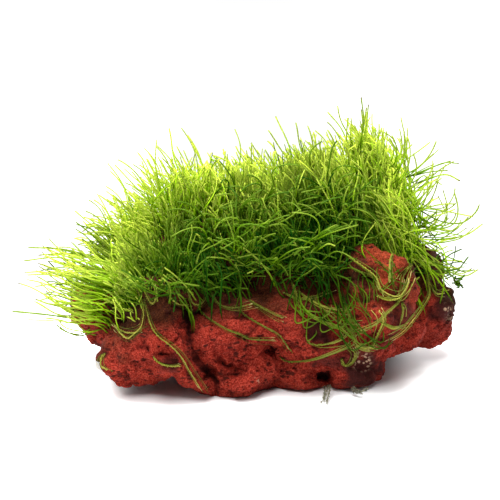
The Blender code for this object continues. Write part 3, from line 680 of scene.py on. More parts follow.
def gappy(at, seed):
    """How thick the moss stands at a place: soft noise of 7 mm cells, from 0.03 to 1."""
    return 0.03 + 0.97 * ramp(soft_noise(at, 7.0, seed), -0.2, 0.32)


def lit_share(at):
    """0 low in the moss on the front and 1 high up and towards both ends: how much painted
    light a strand's tone gets there, so that the low front gets painted shade."""
    low = 1 - ramp(at[:, 2] - 8 * ramp(at[:, 0], 5, 25), 40, 62)
    front = ramp(-at[:, 1], -14, 6)
    inner = ramp(at[:, 0], -42, -12) * (1 - 0.7 * ramp(at[:, 0], 28, 44))
    return 1 - low * front * inner


# The moss's outline as it is seen from the front: across and up of its corners, from the
# left end over the top to the right end. Only single stems pass it.
OUTLINE = np.array((
    (-54, -30), (-46.5, -15), (-45, -3.6), (-39, 6), (-34.5, 15), (-30, 21.6), (-25.5, 25.5),
    (-18, 27), (-10.5, 28.5), (-4.5, 27.6), (0, 27), (3.6, 30), (7.5, 31.5), (15, 30),
    (21, 31.5), (27, 33), (30.6, 37.5), (34.5, 40.5), (38.4, 37.5), (42, 31.5), (45.5, 25.5),
    (47, 18), (47.8, 10.5), (49, 3), (51.5, -4), (56, -12), (58, -30),
))
OUTLINE_MIDDLE = (0, -30)


def past_outline(spots):
    """How far each spot is outside the outline: its distance from OUTLINE_MIDDLE less the
    outline's distance the same way, which is read off by the angle."""
    corner_way = OUTLINE - OUTLINE_MIDDLE
    way = spots - OUTLINE_MIDDLE
    corner_turn = np.arctan2(corner_way[:, 0], corner_way[:, 1])
    corner_far = np.linalg.norm(corner_way, axis=1)
    edge = np.interp(np.arctan2(way[:, 0], way[:, 1]), corner_turn, corner_far)
    return np.linalg.norm(way, axis=1) - edge


def trimmed(batch, home):
    """The strands of a batch that stay: all whose tips are well inside the outline, and ever
    fewer of those further out. Few of those that would hang over the bare front stay."""
    tips = batch[0][:, -1]
    past = past_outline(as_seen(tips))
    hangs = ramp(-height_in_moss(tips), 0.1, 0.5) * ramp(-tips[:, 1], 0, 10)
    chance = np.exp(-np.clip(past + 1.2, 0, None) / 1.9) * (1 - 0.8 * hangs)
    stays = moss_rng.random(len(past)) < chance
    return tuple(part[stays] for part in batch), home[stays]


# Body: tufts that each send their stems out of one spot of the stone. They are the older,
# darker inside of the moss, with low tones as painted shade, lowest on the front.
BODY = 4200
BODY_STEPS = 11
TUFTS = 420
TUFT_WIDTH = 1.1

corner = stone_corners[stone_faces]
face_out, face_area, face_middle = face_parts(corner)
faces_flow = (strand_flow(face_middle) * face_out).sum(axis=1) > 0
chance = face_area * ramp(moss_cover(face_middle), 0.0, 0.25) * faces_flow
stone_chance = chance * gappy(face_middle, 140) * (1 - 0.7 * ramp(face_middle[:, 0], 46, 53))
drawn, tuft_spot = scattered(corner, stone_chance, TUFTS)
tuft_out = face_out[drawn]
tuft_flow = strand_flow(tuft_spot) + 0.15 * tuft_out + 0.28 * soft_push(tuft_spot, 9.0, 90)
tuft_flow = unit(tuft_flow + 0.06 * strewn(TUFTS, 3))
of = moss_rng.integers(0, TUFTS, BODY)
body_feet = tuft_spot[of] + TUFT_WIDTH * strewn(BODY, 3) - tuft_out[of] * 0.6
tangle = tangle_at(body_feet)[:, None]
begin = unit(tuft_flow[of] + (0.1 + 0.14 * tangle) * strewn(BODY, 3) + (0, 0, 0.3))
end = unit(tuft_flow[of] * (1.25, 1.25, 0.85) + (0.22 + 0.24 * tangle) * strewn(BODY, 3))
length_share = np.interp(moss_rng.random(BODY), (0, 0.6, 1), (0.4, 0.68, 0.92))
length = strand_length(body_feet) * length_share
paths = grown(body_feet, begin, end, length, BODY_STEPS, 0.25, moss_rng)
thickness = STRAND_RADIUS * between(0.8, 1.2, BODY)
lit = lit_share(paths[:, -1])
tone = toned(0.02 + 0.44 * lit, 0.04 + 0.06 * lit, BODY, 0.0, 0.7)
body = (paths, leafy_radii(BODY, BODY_STEPS, thickness, moss_rng), tone)

# Outer strands: the young shoots, which run up the outside of the moss and end in the open.
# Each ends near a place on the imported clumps' open faces, and its foot is found from there.
OUTER = 3500
OUTER_STEPS = 13
OPEN_REACH = 14

hull_corner, hull_clump = [], []
for index, clump in enumerate(CLUMPS):
    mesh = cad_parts[clump].data
    mesh.calc_loop_triangles()
    places = numbers(mesh.vertices, "co", 3) / MM
    triangles = numbers(mesh.loop_triangles, "vertices", 3).astype(int)
    hull_corner.append(places[triangles])
    hull_clump.append(np.full(len(triangles), index))
hull_corner = np.concatenate(hull_corner)
hull_clump = np.concatenate(hull_clump)
hull_out, hull_area, hull_middle = face_parts(hull_corner)
every = np.concatenate((hull_corner, corner)).reshape(-1, 3)
solids = BVHTree.FromPolygons(every.tolist(), np.arange(len(every)).reshape(-1, 3).tolist())
is_open = np.array([
    solids.ray_cast(Vector(middle + way * 0.3), Vector(way + (0, 0, 0.2)), OPEN_REACH)[0] is None
    for middle, way in zip(hull_middle, hull_out)
])
hull_x = hull_middle[:, 0]
sparse_ends = (1 - 0.85 * ramp(hull_x, 46, 53)) * (1 - 0.6 * ramp(-hull_x, 35, 44))
sparse_ends *= 1 - 0.7 * ramp(-hull_x, 30, 38) * ramp(-hull_middle[:, 2], -33, -27)
chance = hull_area * is_open * (hull_out[:, 2] > -0.7) * gappy(hull_middle, 150) * sparse_ends
chance = chance * (1 - 0.45 * tangle_at(hull_middle))

# The highest that the solids reach, in strips 3 mm wide across, and how near each face is to
# that: 1 within 2 mm of it and 0 from 8 mm below it. Strands there are raised to the outline.
STRIPS = 50
STRIP_WIDTH = 3
hull_spots = as_seen(hull_middle)
strip = (hull_spots[:, 0] / STRIP_WIDTH + STRIPS / 2).astype(int)
skyline = np.full(STRIPS, -np.inf)
np.maximum.at(skyline, strip, hull_spots[:, 1])
at_skyline = ramp(hull_spots[:, 1] - skyline[strip], -8, -2)
short_by = np.clip(-past_outline(hull_spots), 0, 12) * at_skyline

drawn, top = scattered(hull_corner, chance, OUTER)
out, outer_clump = hull_out[drawn], hull_clump[drawn]
flow = unit(strand_flow(top) + 0.24 * soft_push(top, 9.0, 95))
tangle = tangle_at(top)[:, None]
sideways = 0.75 * (1 - ramp(out[:, 2:], 0.2, 0.7))
flow = unit(flow - sideways * (flow * out).sum(axis=1, keepdims=True) * out)
length_share = np.interp(moss_rng.random(OUTER), (0, 0.5, 0.9, 1), (0.5, 0.78, 0.95, 1.2))
length = np.interp(top[:, 0], LENGTH_X, LENGTH) * 0.95 * length_share
bow = (0.2 + 0.3 * tangle) * strewn(OUTER, 3) * (1, 0.6, 0.4)
sway = (0.1 + 0.22 * tangle) * strewn(OUTER, 3)
begin = unit(flow * (0.4, 0.4, 1) - 0.08 * out - bow + sway)
sway = (0.36 + 0.2 * tangle) * strewn(OUTER, 3)
end = unit(flow * (1.6, 1.6, 0.8) + 0.15 * out + bow + sway)
beyond = np.clip(2.2 * moss_rng.exponential(size=OUTER) - 3.0, -6, 6) + short_by[drawn]
feet = top - 0.8 * out + flow * beyond[:, None] - unit(begin + end) * length[:, None] * 0.97
paths = grown(feet, begin, end, length, OUTER_STEPS, 0.34, moss_rng)
thickness = LOOSE_RADIUS * between(0.8, 1.15, OUTER)
tips = paths[:, -1]
lit = lit_share(tips)
# Painted light and shade: tips high up and on the right are lighter, low on the front darker, and
# the very highest a little darker as painted shade.
tone = 0.04 + 0.73 * lit + 0.16 * ramp(tips[:, 0], 32, 46) - 0.14 * ramp(tips[:, 2], 58, 70)
tone = toned(tone, 0.05 + 0.06 * lit, OUTER, 0.02)
outer = (paths, leafy_radii(OUTER, OUTER_STEPS, thickness, moss_rng), tone)

# Branches: side shoots that leave an outer strand part of the way up, on one side.
BRANCHES = 2000
BRANCH_STEPS = 8
parent = moss_rng.integers(0, OUTER, BRANCHES)
fork = moss_rng.integers(3, 10, BRANCHES)
heading = unit(paths[parent, fork + 1] - paths[parent, fork])
begin = unit(heading + 0.26 * strewn(BRANCHES, 3))
end = unit(heading + 0.6 * strewn(BRANCHES, 3) + (0, 0, 0.1))
branch_length = length[parent] * (1 - fork / OUTER_STEPS) * between(0.6, 1.2, BRANCHES)
shoots = grown(paths[parent, fork], begin, end, branch_length, BRANCH_STEPS, 0.25, moss_rng)
branch_radii = leafy_radii(BRANCHES, BRANCH_STEPS, thickness[parent] * 0.85, moss_rng)
branches = (shoots, branch_radii, np.clip(tone[parent] + 0.05, 0, 0.98))

# Undergrowth: short old stems between the feet, which hide the stone. Their very low tones
# are painted shade in the gaps between the tufts.
UNDERGROWTH = 2600
drawn, low_feet = scattered(corner, stone_chance, UNDERGROWTH)
low_out = face_out[drawn]
low_flow = strand_flow(low_feet) + 0.5 * low_out
begin = unit(low_flow + 0.5 * strewn(UNDERGROWTH, 3))
end = unit(low_flow + 0.7 * strewn(UNDERGROWTH, 3))
low_length = strand_length(low_feet) * between(0.2, 0.42, UNDERGROWTH)
paths = grown(low_feet - low_out * 0.4, begin, end, low_length, BRANCH_STEPS, 0.2, moss_rng)
thickness = np.full(UNDERGROWTH, STRAND_RADIUS)
radii = leafy_radii(UNDERGROWTH, BRANCH_STEPS, thickness, moss_rng)
undergrowth = (paths, radii, between(0, 0.15, UNDERGROWTH))


def facing(turn, depth):
    """Directions by their turn in degrees, from the right over the top, and their lean back."""
    turn = np.radians(turn)
    return unit(np.stack((np.cos(turn), depth, np.sin(turn)), axis=-1))


# Rim: the longest shoots along the top, which stand out one by one beyond the others. Each
# leans the way that the moss's outline does at its place across.
RIM = 430
LONG_STEPS = 17
RIM_ACROSS = (-48, -42, -35, -29, -17, -6, 5, 15, 33, 45, 51, 55)
RIM_TURN = (158, 142, 134, 130, 124, 118, 120, 119, 106, 82, 58, 34)
chance = hull_area * is_open * ramp(hull_out[:, 2], 0.1, 0.5) * ramp(hull_middle[:, 2], 30, 42)
share_across = 1 + 1.2 * ramp(-hull_x, 5, 25) - 0.75 * ramp(hull_x, 40, 46)
drawn, top = scattered(hull_corner, chance * (0.12 + at_skyline) * share_across, RIM)
rim_clump = hull_clump[drawn]
turn = np.interp(top[:, 0], RIM_ACROSS, RIM_TURN) + 9 * strewn(RIM)
turn_to = turn + 0.45 * (turn - 90) + 20 * strewn(RIM)
lean = 0.22 * strewn(2, RIM) + np.interp(top[:, 1], (-15, 5, 35), (-0.2, 0, 0.5))
begin = facing(90 + 0.35 * (turn - 90), lean[0])
end = facing(turn_to, lean[1])
length = between(16, 27, RIM)
share = 1 + 0.5 * ramp(-top[:, 0], 15, 30) - 0.35 * ramp(top[:, 0], 15, 28)
single = 3.0 * share * moss_rng.exponential(size=RIM) + 0.5
past = (np.clip(single, 0, 12) + short_by[drawn])[:, None]
feet = top + end * past - unit(begin + end) * length[:, None] * 0.96
paths = grown(feet, begin, end, length, LONG_STEPS, 0.3, moss_rng)
thickness = LOOSE_RADIUS * between(0.9, 1.2, RIM)
# Painted light: a high tone for the rim.
tone = toned(0.6, 0.1, RIM)
rim = (paths, leafy_radii(RIM, LONG_STEPS, thickness, moss_rng), tone)

# Arcs: long stems in the middle of the front, which bow out of the dark moss and cross.
ARCS = 210
chance = hull_area * is_open * tangle_at(hull_middle) * ramp(-hull_out[:, 1], 0.0, 0.5)
drawn, feet = scattered(hull_corner, chance, ARCS)
out, arc_clump = hull_out[drawn], hull_clump[drawn]
leftwards = np.where(moss_rng.random(ARCS) < 0.55, -1, 1)[:, None]
side = leftwards * (1, 0, 0) * between(0.1, 0.9, ARCS, 1)
begin = unit(0.35 * out + 0.35 * side + (0, -0.25, 0.9) + 0.2 * strewn(ARCS, 3))
droop = between(-0.7, 0.5, ARCS, 1) * (0, 0, 1)
end = unit(0.1 * out + 1.2 * side + (0, -0.1, 0) + droop + 0.35 * strewn(ARCS, 3))
length = between(8, 19, ARCS)
paths = grown(feet - 2.5 * out, begin, end, length, LONG_STEPS, 0.25, moss_rng)
# Painted shade: low tones for the arcs on the front.
arcs = (paths, moss_radii(paths, 0.85, 1.15), toned(0.21, 0.08, ARCS, 0.04, 0.9))

# Fringe: loose stems at the moss's front edge, which bow out over the bare stone and hang.
FRINGE = 310
near_edge = np.abs(height_in_moss(face_middle) - 0.1) < 0.25
chance = near_edge * (face_out[:, 1] < -0.15) * face_area
drawn = moss_rng.choice(len(chance), FRINGE, p=chance / chance.sum())
out = face_out[drawn]
fringe_feet = face_middle[drawn] + 1.0 * strewn(FRINGE, 3) * (1, 0.3, 1)
side = strewn(FRINGE, 1) * (1, 0, 0)
begin = unit(0.5 * out + 0.7 * side + (0, -0.15, 0.5))
hang = between(-0.9, 0.9, FRINGE, 1) * (0, 0, 1)
end = unit(0.1 * out + 1.5 * side + (0, -0.05, 0) + hang + 0.2 * strewn(FRINGE, 3))
paths = grown(fringe_feet, begin, end, between(6, 15, FRINGE), LONG_STEPS, 0.2, moss_rng)
# Painted shade: low tones for the fringe on the front.
fringe = (paths, moss_radii(paths, 0.7, 1.1), between(0.02, 0.28, FRINGE))

stone_tree = BVHTree.FromPolygons(stone_corners.tolist(), stone_faces.tolist())


def towards(spots):
    """The way from the eye to each spot, for rows of across and up."""
    return MIDDLE + spots[:, :1] * (1, 0, 0) + spots[:, 1:] * UPWARD - EYE


def seen_on_stone(spots):
    """For each spot, the distance from the eye to the stone, or nan beside it, and the line of
    sight there."""
    sight = unit(towards(spots))
    hits = [stone_tree.ray_cast(Vector(EYE), Vector(ray))[3] for ray in sight]
    return np.array([np.nan if hit is None else hit for hit in hits]), sight


def feet_on_stone(spots):
    """A place just under the stone's skin at each spot. One beside the stone is as far from
    the eye as half of the others are."""
    far, sight = seen_on_stone(spots)
    far = np.where(np.isnan(far), np.nanmedian(far), far)
    return EYE + sight * (far + 0.3)[:, None]


def seen_places(spots, depth):
    """The places at each spot that are as far back as the depth says."""
    ray = towards(spots)
    return EYE + ray * ((depth - EYE[1]) / ray[:, 1])[:, None]


def blend(first, last, share):
    """From the first to the last by a share, for each of many."""
    return np.array(first) * (1 - share) + np.array(last) * share


def bowed(knots, steps):
    """Places evenly spread on a smooth curve through the knots. Between the knots b and c,
    with a before and d after them, it is b + ((c - a) t + (2a - 5b + 4c - d) t^2
    + (3b - a - 3c + d) t^3) / 2."""
    knots = np.asarray(knots, float)
    known = np.concatenate((2 * knots[:1] - knots[1:2], knots, 2 * knots[-1:] - knots[-2:-1]))
    a, b, c, d = (known[i:len(known) - 3 + i, None] for i in range(4))
    t = np.linspace(0, 1, 24, endpoint=False)[None, :, None]
    bend = (c - a) * t + (2 * a - 5 * b + 4 * c - d) * t**2 + (3 * b - a - 3 * c + d) * t**3
    curve = np.concatenate(((b + bend / 2).reshape(-1, knots.shape[1]), knots[-1:]))
    run = np.concatenate(((0,), np.cumsum(np.linalg.norm(np.diff(curve, axis=0), axis=1))))
    spread = np.linspace(0, run[-1], steps)
    return np.stack([np.interp(spread, run, part) for part in curve.T], axis=1)


def clinging(spots, lift):
    """A path over the stone's front along the spots: from the eye it is as far as the nearest
    of the stone within a few steps, smoothed, and the lift nearer."""
    far, sight = seen_on_stone(spots)
    here = np.arange(len(far))
    known = ~np.isnan(far)
    far = np.interp(here, here[known], far[known])
    padded = np.pad(far, 2, mode="edge")
    near = np.min([padded[shift:shift + len(far)] for shift in range(5)], axis=0)
    padded = np.pad(near, 3, mode="edge")
    smooth = np.mean([padded[shift:shift + len(far)] for shift in range(7)], axis=0)
    return EYE + sight * (np.minimum(smooth, far) - lift)[:, None]


# The fan: one sheaf that grips the left end of the stone's front, rises and bends over to
# the left, so that it spreads far beyond the stone. Some low stems are cupped upwards.
FAN = 86
FAN_TOP = (-37.2, -11.0)
FAN_KNOT = (-42.8, -24.0)

along = moss_rng.random(FAN) ** 1.9
feet = feet_on_stone(blend(FAN_TOP, FAN_KNOT, along[:, None]) + strewn(FAN, 2) * (1.6, 1.0))
height = np.clip(1 - along + 0.2 * strewn(FAN), 0, 1)
cupped = moss_rng.random(FAN) < 0.4 - 0.4 * height
turn_start = np.where(cupped, 188, 148 - 22 * height) + 8 * strewn(FAN)
turn_middle = np.where(cupped, 178, 171 - 8 * height) + 7 * strewn(FAN)
turn_end = np.where(cupped, 140, 154 - 4 * height) + 12 * strewn(FAN)
length = np.interp(height, (0, 0.4, 0.75, 1), (18, 29, 35, 28)) * between(0.5, 1.0, FAN)
t = np.linspace(0, 1, LONG_STEPS - 1)[None]
turn = turn_start[:, None] + (turn_middle - turn_start)[:, None] * ramp(t, 0, 0.45)
turn += (turn_end - turn_middle)[:, None] * ramp(t, 0.45, 1)
turn += 12 * np.sin(9 * t + between(0, 6, FAN, 1))
lean = -0.35 * moss_rng.random((FAN, 1)) * (1 - t) + 0.15 * strewn(FAN, 1) * t
run = np.cumsum(facing(turn, lean), axis=1) * (length / LONG_STEPS)[:, None, None]
paths = np.concatenate((feet[:, None], feet[:, None] + run), axis=1)
thickness = LOOSE_RADIUS * between(0.9, 1.2, FAN)
# Painted light: a high tone for the fan.
tone = toned(0.62, 0.1, FAN)
fan = (paths, leafy_radii(FAN, LONG_STEPS, thickness, moss_rng), tone)

# A tuft on the stone's shoulder, between the fan and the mound behind it.
SHOULDER = 60
SHOULDER_SPOT = (-41.0, -3.0)
feet = feet_on_stone(SHOULDER_SPOT + strewn(SHOULDER, 2) * (1.8, 1.8))
begin = unit((-0.5, -0.3, 0.9) + 0.25 * strewn(SHOULDER, 3))
end = unit((-1.1, -0.1, 0.7) + 0.3 * strewn(SHOULDER, 3))
paths = grown(feet, begin, end, between(6, 14, SHOULDER), LONG_STEPS, 0.15, moss_rng)
shoulder = (paths, moss_radii(paths, 0.8, 1.1), toned(0.42, 0.1, SHOULDER))

# The right side: long stems that leave the moss one by one and curl up into the open. They
# grow along the moss's edge, from its top down to the stone.
CURLS = 70
CURLS_TOP = (44.0, 29.0)
CURLS_END = (51.0, -4.0)
along = moss_rng.random(CURLS)
spots = blend(CURLS_TOP, CURLS_END, along[:, None])
feet = seen_places(spots, between(-6, 18, CURLS))
turn = np.interp(along, (0, 0.35, 0.7, 1), (68, 42, 12, -22)) + 14 * strewn(CURLS)
turn_to = turn + between(-20, 85, CURLS)
lean = 0.3 * strewn(2, CURLS)
begin = facing(turn, lean[0])
end = facing(turn_to, lean[1])
length = 5.0 + between(0.25, 1.0, CURLS) * np.interp(along, (0, 0.5, 1), (14, 22, 14))
paths = grown(feet - begin * 4.0, begin, end, length, LONG_STEPS, 0.2, moss_rng)
# Painted light: a middle to high tone for the curls.
curls = (paths, moss_radii(paths, 0.9, 1.15), toned(0.5, 0.12, CURLS))

# The tress: loose stems hang out of the moss beside the boulder, over the hollow under it.
# They start from one line and end on another, which are given by their ends.
TRESS = 18
TRESS_STEPS = 26
TRESS_FROM = ((11, -11), (27, -14))
TRESS_TO = ((16, -24), (40, -30))
share = moss_rng.random((TRESS, 1))
start = blend(*TRESS_FROM, share)
share = np.clip(share + 0.25 * strewn(TRESS, 1), 0, 1)
finish = blend(*TRESS_TO, share)
share = between(0.35, 1.0, TRESS, 1)
start = start + 2.4 * strewn(TRESS, 2)
finish = start * (1 - share) + finish * share + 1.2 * strewn(TRESS, 2)
sag = np.array((-1.5, -2.4)) * between(0.3, 1.5, TRESS, 1)
curl = np.array((3.4, 1.6)) * between(-0.5, 1.6, TRESS, 2)
middle = start * 0.6 + finish * 0.4 + sag
curled = finish + 1.2 * curl + (-0.5, 1.4)
knots = np.stack((start, middle, finish + 0.5 * sag, finish + curl, curled), axis=1)
paths = np.stack([clinging(bowed(route, TRESS_STEPS), 0.6) for route in knots])
bulge = np.sin(np.linspace(0, np.pi, TRESS_STEPS))[:, None]
paths -= bulge * SIGHT * between(0, 2.5, TRESS, 1, 1)
tress = (paths, moss_radii(paths, 0.7, 1.0), between(0.03, 0.3, TRESS))

# The veil: fine old stems that lie on the boulder, from the moss at its left and top.
VEIL = 34
VEIL_STEPS = 14
share = moss_rng.random(VEIL) ** 1.5
across = np.interp(share, (0, 0.5, 1), (26, 36, 49))
up = np.interp(share, (0, 0.5, 1), (-16, -5, -3))
start = np.stack((across, up), axis=1) + strewn(VEIL, 2)
aside = between(0, 10, VEIL) * (1 - share)
fall = np.stack((aside, -between(3, 11, VEIL)), axis=1)
bow = fall[:, ::-1] * (0.25, -0.25) * strewn(VEIL, 1)
knots = np.stack((start, start + 0.5 * fall + bow, start + fall), axis=1)
paths = np.stack([clinging(bowed(route, VEIL_STEPS), 0.3) for route in knots])
radii = leafy_radii(VEIL, VEIL_STEPS, between(0.1, 0.17, VEIL), moss_rng)
veil = (paths, radii, between(0.03, 0.24, VEIL))

names = list(CLUMPS)
middles = np.array(list(CLUMPS.values())) + CLUMP_SHIFT


def clump_of(at):
    """The number of the clump whose middle is nearest in plan."""
    return np.argmin(np.linalg.norm(at[:, None, :2] - middles[None], axis=2), axis=1)


sown = (
    trimmed(body, clump_of(body_feet)),
    trimmed(outer, outer_clump),
    trimmed(branches, outer_clump[parent]),
    trimmed(undergrowth, clump_of(low_feet)),
    (rim, rim_clump),
    (arcs, arc_clump),
    (fringe, clump_of(fringe_feet)),
    (fan, np.full(FAN, names.index("moss_left"))),
    (shoulder, np.full(SHOULDER, names.index("moss_left"))),
    (tress, np.full(TRESS, names.index("moss_front"))),
    (veil, np.full(VEIL, names.index("moss_front"))),
    (curls, np.full(CURLS, names.index("moss_right"))),
)
for index, clump in enumerate(CLUMPS):
    batches = [tuple(part[home == index] for part in batch) for batch, home in sown]
    batches = [batch for batch in batches if len(batch[0])]
    piece = strand_piece("strands_" + clump[5:], batches, 3, willow_moss, moss_rng)
    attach(piece, "root")
    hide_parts(clump)

# The trailing stems
# Longer single stems that hang out of the moss and cling to the stone's front, dressed with
# tiny leaf scales. Each lies where it is seen, on the stone's own skin.

# The radius of each stem with its scales, and the across and up of the places it passes.
TRAILING = [
    (0.20, [(-31.5, -14), (-31.5, -16), (-28.8, -24.3), (-23.4, -29.1), (-20.4, -32.4),
            (-18, -36.6), (-14.3, -42.6)]),
    (0.18, [(-29.1, -31.8), (-27.6, -33.6), (-24.6, -34.8), (-20.7, -34.8)]),
    (0.22, [(-35.6, -9), (-34.5, -10.5), (-32.1, -16.5), (-32.4, -22.2), (-34.5, -24.9),
            (-37.2, -26.4), (-41, -22.5)]),
    (0.18, [(-41.5, -22), (-38, -24.4), (-34.8, -24.8), (-32.5, -24)]),
    (0.19, [(-25.8, -8.5), (-24, -13.8), (-21.6, -16.2), (-18.4, -16.5)]),
    (0.19, [(-33, -9), (-30.6, -14.6), (-29, -16), (-28.2, -13.4), (-29.4, -10)]),
    (0.19, [(-19.6, -9), (-18.6, -12), (-17.4, -15.6), (-15.2, -16.4), (-13.3, -14.1),
            (-14.4, -10)]),
    (0.20, [(-12.3, -9.5), (-10.2, -15.3), (-5.4, -17.4), (1, -16)]),
    (0.19, [(-15, -17.8), (-12.6, -20.3), (-7.2, -23.7), (-3.3, -25.2), (0.3, -26.7), (7.8, -27)]),
    (0.18, [(-4, -16.5), (-1.5, -19.5), (5.1, -23.4), (8.6, -25.4), (12.3, -30.5)]),
    (0.18, [(0.3, -14), (0.3, -15.3), (7.2, -19.2), (10.2, -20.4)]),
    (0.26, [(8.7, -31.8), (10.8, -33.3), (14.1, -33.6), (18.9, -33), (23.4, -31.5),
            (28.5, -29.4), (30.5, -28)]),
    (0.25, [(16.8, -27.6), (20.1, -28.5), (23.4, -28.2), (27.5, -26.8), (30.3, -23.5)]),
    (0.22, [(12.3, -9), (15.6, -16.8), (20.4, -20.7), (27, -23.1), (30, -26)]),
    (0.26, [(27.5, -14), (29.4, -19), (30.6, -24), (32.1, -28.5), (36.6, -29.4)]),
    (0.26, [(27.0, -1), (31, -3), (37.5, -7.8), (39.3, -11.7), (42.9, -13.8), (45.3, -13.5),
            (47.1, -10.8), (47.7, -8.2)]),
    (0.26, [(37.5, -13.5), (41.4, -15), (44.7, -14.4), (46.8, -12), (47.9, -9)]),
    (0.25, [(47.5, -9), (45, -15.3), (41.4, -18.9), (38.4, -21.9), (33, -24.3)]),
    (0.20, [(45.6, -15.6), (46, -18.3), (45.3, -21)]),
    (0.30, [(44.4, 2), (42.3, -2.4), (42, -6.3), (42, -9.8)]),
    (0.24, [(48.6, -4.2), (46.5, -6.9), (45.6, -9)]),
    (0.26, [(52.0, 0), (52.5, -3), (53.7, -10.8), (53.4, -14.4), (48.9, -21), (45.5, -24.8),
            (41.4, -27.3)]),
    (0.20, [(53.6, -9.5), (55.8, -12.9), (58.5, -13)]),
    (0.24, [(39, -21.5), (42.9, -23.4), (46.5, -22.5)]),
    (0.22, [(36.6, -29.4), (38, -26), (40, -21), (38.6, -18)]),
    (0.22, [(27.4, -32.4), (28.2, -34.6), (30.3, -33.9), (31.5, -31.2), (30, -29.4)]),
    (0.20, [(31.5, -28.5), (34.2, -29.4), (37.2, -29.4)]),
    (0.20, [(18.5, -14), (24, -19.5), (28, -22.2), (33.4, -22.4)]),
    (0.20, [(14, -12), (19, -15.5), (24, -17.6), (30, -18.3)]),
    (0.20, [(9.6, -12.6), (14.4, -14.4), (19.8, -13.6), (24, -11.8)]),
    (0.24, [(-43.4, -30.8), (-44.6, -32.4), (-44.6, -34.6), (-42.8, -36)]),
    (0.20, [(31, -6), (34.6, -7), (37.5, -8.5), (40, -13)]),
]
STEM_STEPS = 44

# The share of that radius that the bare stem has. Stems that start between DULL_FROM and
# DULL_TO across are duller than the others, and those that start beyond LUSH_FROM have
# thicker and brighter fine stems beside them.
BARE_SHARE = 0.68
DULL_FROM = -20
DULL_TO = 9
LUSH_FROM = 8

# The fine stems beside each, and the leaf scales on it: their number, length, and width from
# foot to tip.
FINE_EACH = 4
SCALES_EACH = 90
SCALE_LENGTH = 0.6
SCALE_WIDTH = 0.11 * np.array((0.3, 1.0, 1.0, 0.6, 0.3))

stem_rng = np.random.default_rng(17)


def leaves_of(paths, radii, each, length, rng):
    """Leaf scales along paths: each starts on the path's middle line and leans out of it by
    a random turn, then bends along it. The third result is the path that each is on."""
    count, steps, _ = paths.shape
    owner = np.repeat(np.arange(count), each)
    place = rng.integers(1, steps - 2, len(owner))
    share = rng.random((len(owner), 1))
    foot = paths[owner, place] * (1 - share) + paths[owner, place + 1] * share
    heading = unit(paths[owner, place + 1] - paths[owner, place])
    out = unit(np.cross(heading, rng.normal(size=heading.shape)))
    begin = unit(heading + 1.0 * out)
    end = unit(heading + 0.25 * out)
    size = length * rng.uniform(0.6, 1.2, len(owner))
    foot = foot + out * radii[owner, place][:, None] * 0.5
    leaf = grown(foot, begin, end, size, len(SCALE_WIDTH), 0.05, rng)
    return leaf, SCALE_WIDTH * rng.uniform(0.8, 1.2, (len(owner), 1)), owner


moss_stem = strand_material(
    "moss_stem",
    colour(0.050, 0.070, 0.004),
    colour(0.330, 0.360, 0.030),
    colour(0.570, 0.540, 0.095),
    colour(0.700, 0.560, 0.200),
    0.3,
)

foot_across = np.array([knots[0][0] for _, knots in TRAILING])
bare_radius = BARE_SHARE * np.array([radius for radius, _ in TRAILING])
routes = [bowed(knots, STEM_STEPS) for _, knots in TRAILING]
paths = np.stack([
    clinging(route, radius + 0.3) for route, (radius, _) in zip(routes, TRAILING)
])
taper = np.interp(np.linspace(0, 1, STEM_STEPS), (0, 0.75, 1), (1.0, 0.85, 0.5))
radii = bare_radius[:, None] * taper * stem_rng.uniform(0.85, 1.15, paths.shape[:2])
tones = stem_rng.uniform(0.3, 0.62, len(paths))
tones = np.where((DULL_FROM < foot_across) & (foot_across < DULL_TO), 0.5, 1.0) * tones
scales, scale_radii, owner = leaves_of(paths, radii, SCALES_EACH, SCALE_LENGTH, stem_rng)
shifts = stem_rng.normal(size=(len(paths), FINE_EACH, 2)) * (1.1, 0.8)
parting = np.linspace(0.15, 1, STEM_STEPS)[:, None]
fine = np.stack([
    clinging(route + parting * shift, 0.25)
    for route, beside in zip(routes, shifts) for shift in beside
])
lush = np.repeat(foot_across > LUSH_FROM, FINE_EACH)
fine_radii = np.broadcast_to(np.where(lush, 0.11, 0.06)[:, None], fine.shape[:2])
fine_tones = np.where(lush, 0.2, 0.02) + stem_rng.uniform(0, 0.3, len(lush))
stem_batches = [
    (paths, radii, tones),
    (fine, fine_radii, fine_tones),
    (scales, 0.6 * scale_radii, np.clip(tones[owner] + 0.1, 0, 0.98)),
]
stems = strand_piece("trailing_stems", stem_batches, 4, moss_stem, stem_rng)
beginnings = ("stem_", "loop_", "sprig_", "curl_boulder")
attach(stems, "root")
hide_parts(*[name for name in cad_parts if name.startswith(beginnings)])

# The strays
# Single stems that stand or curl far out of the moss into the open, on the left, on top and
# on the right, each with thinner ones beside it. One of them ends in a knot of short shoots.

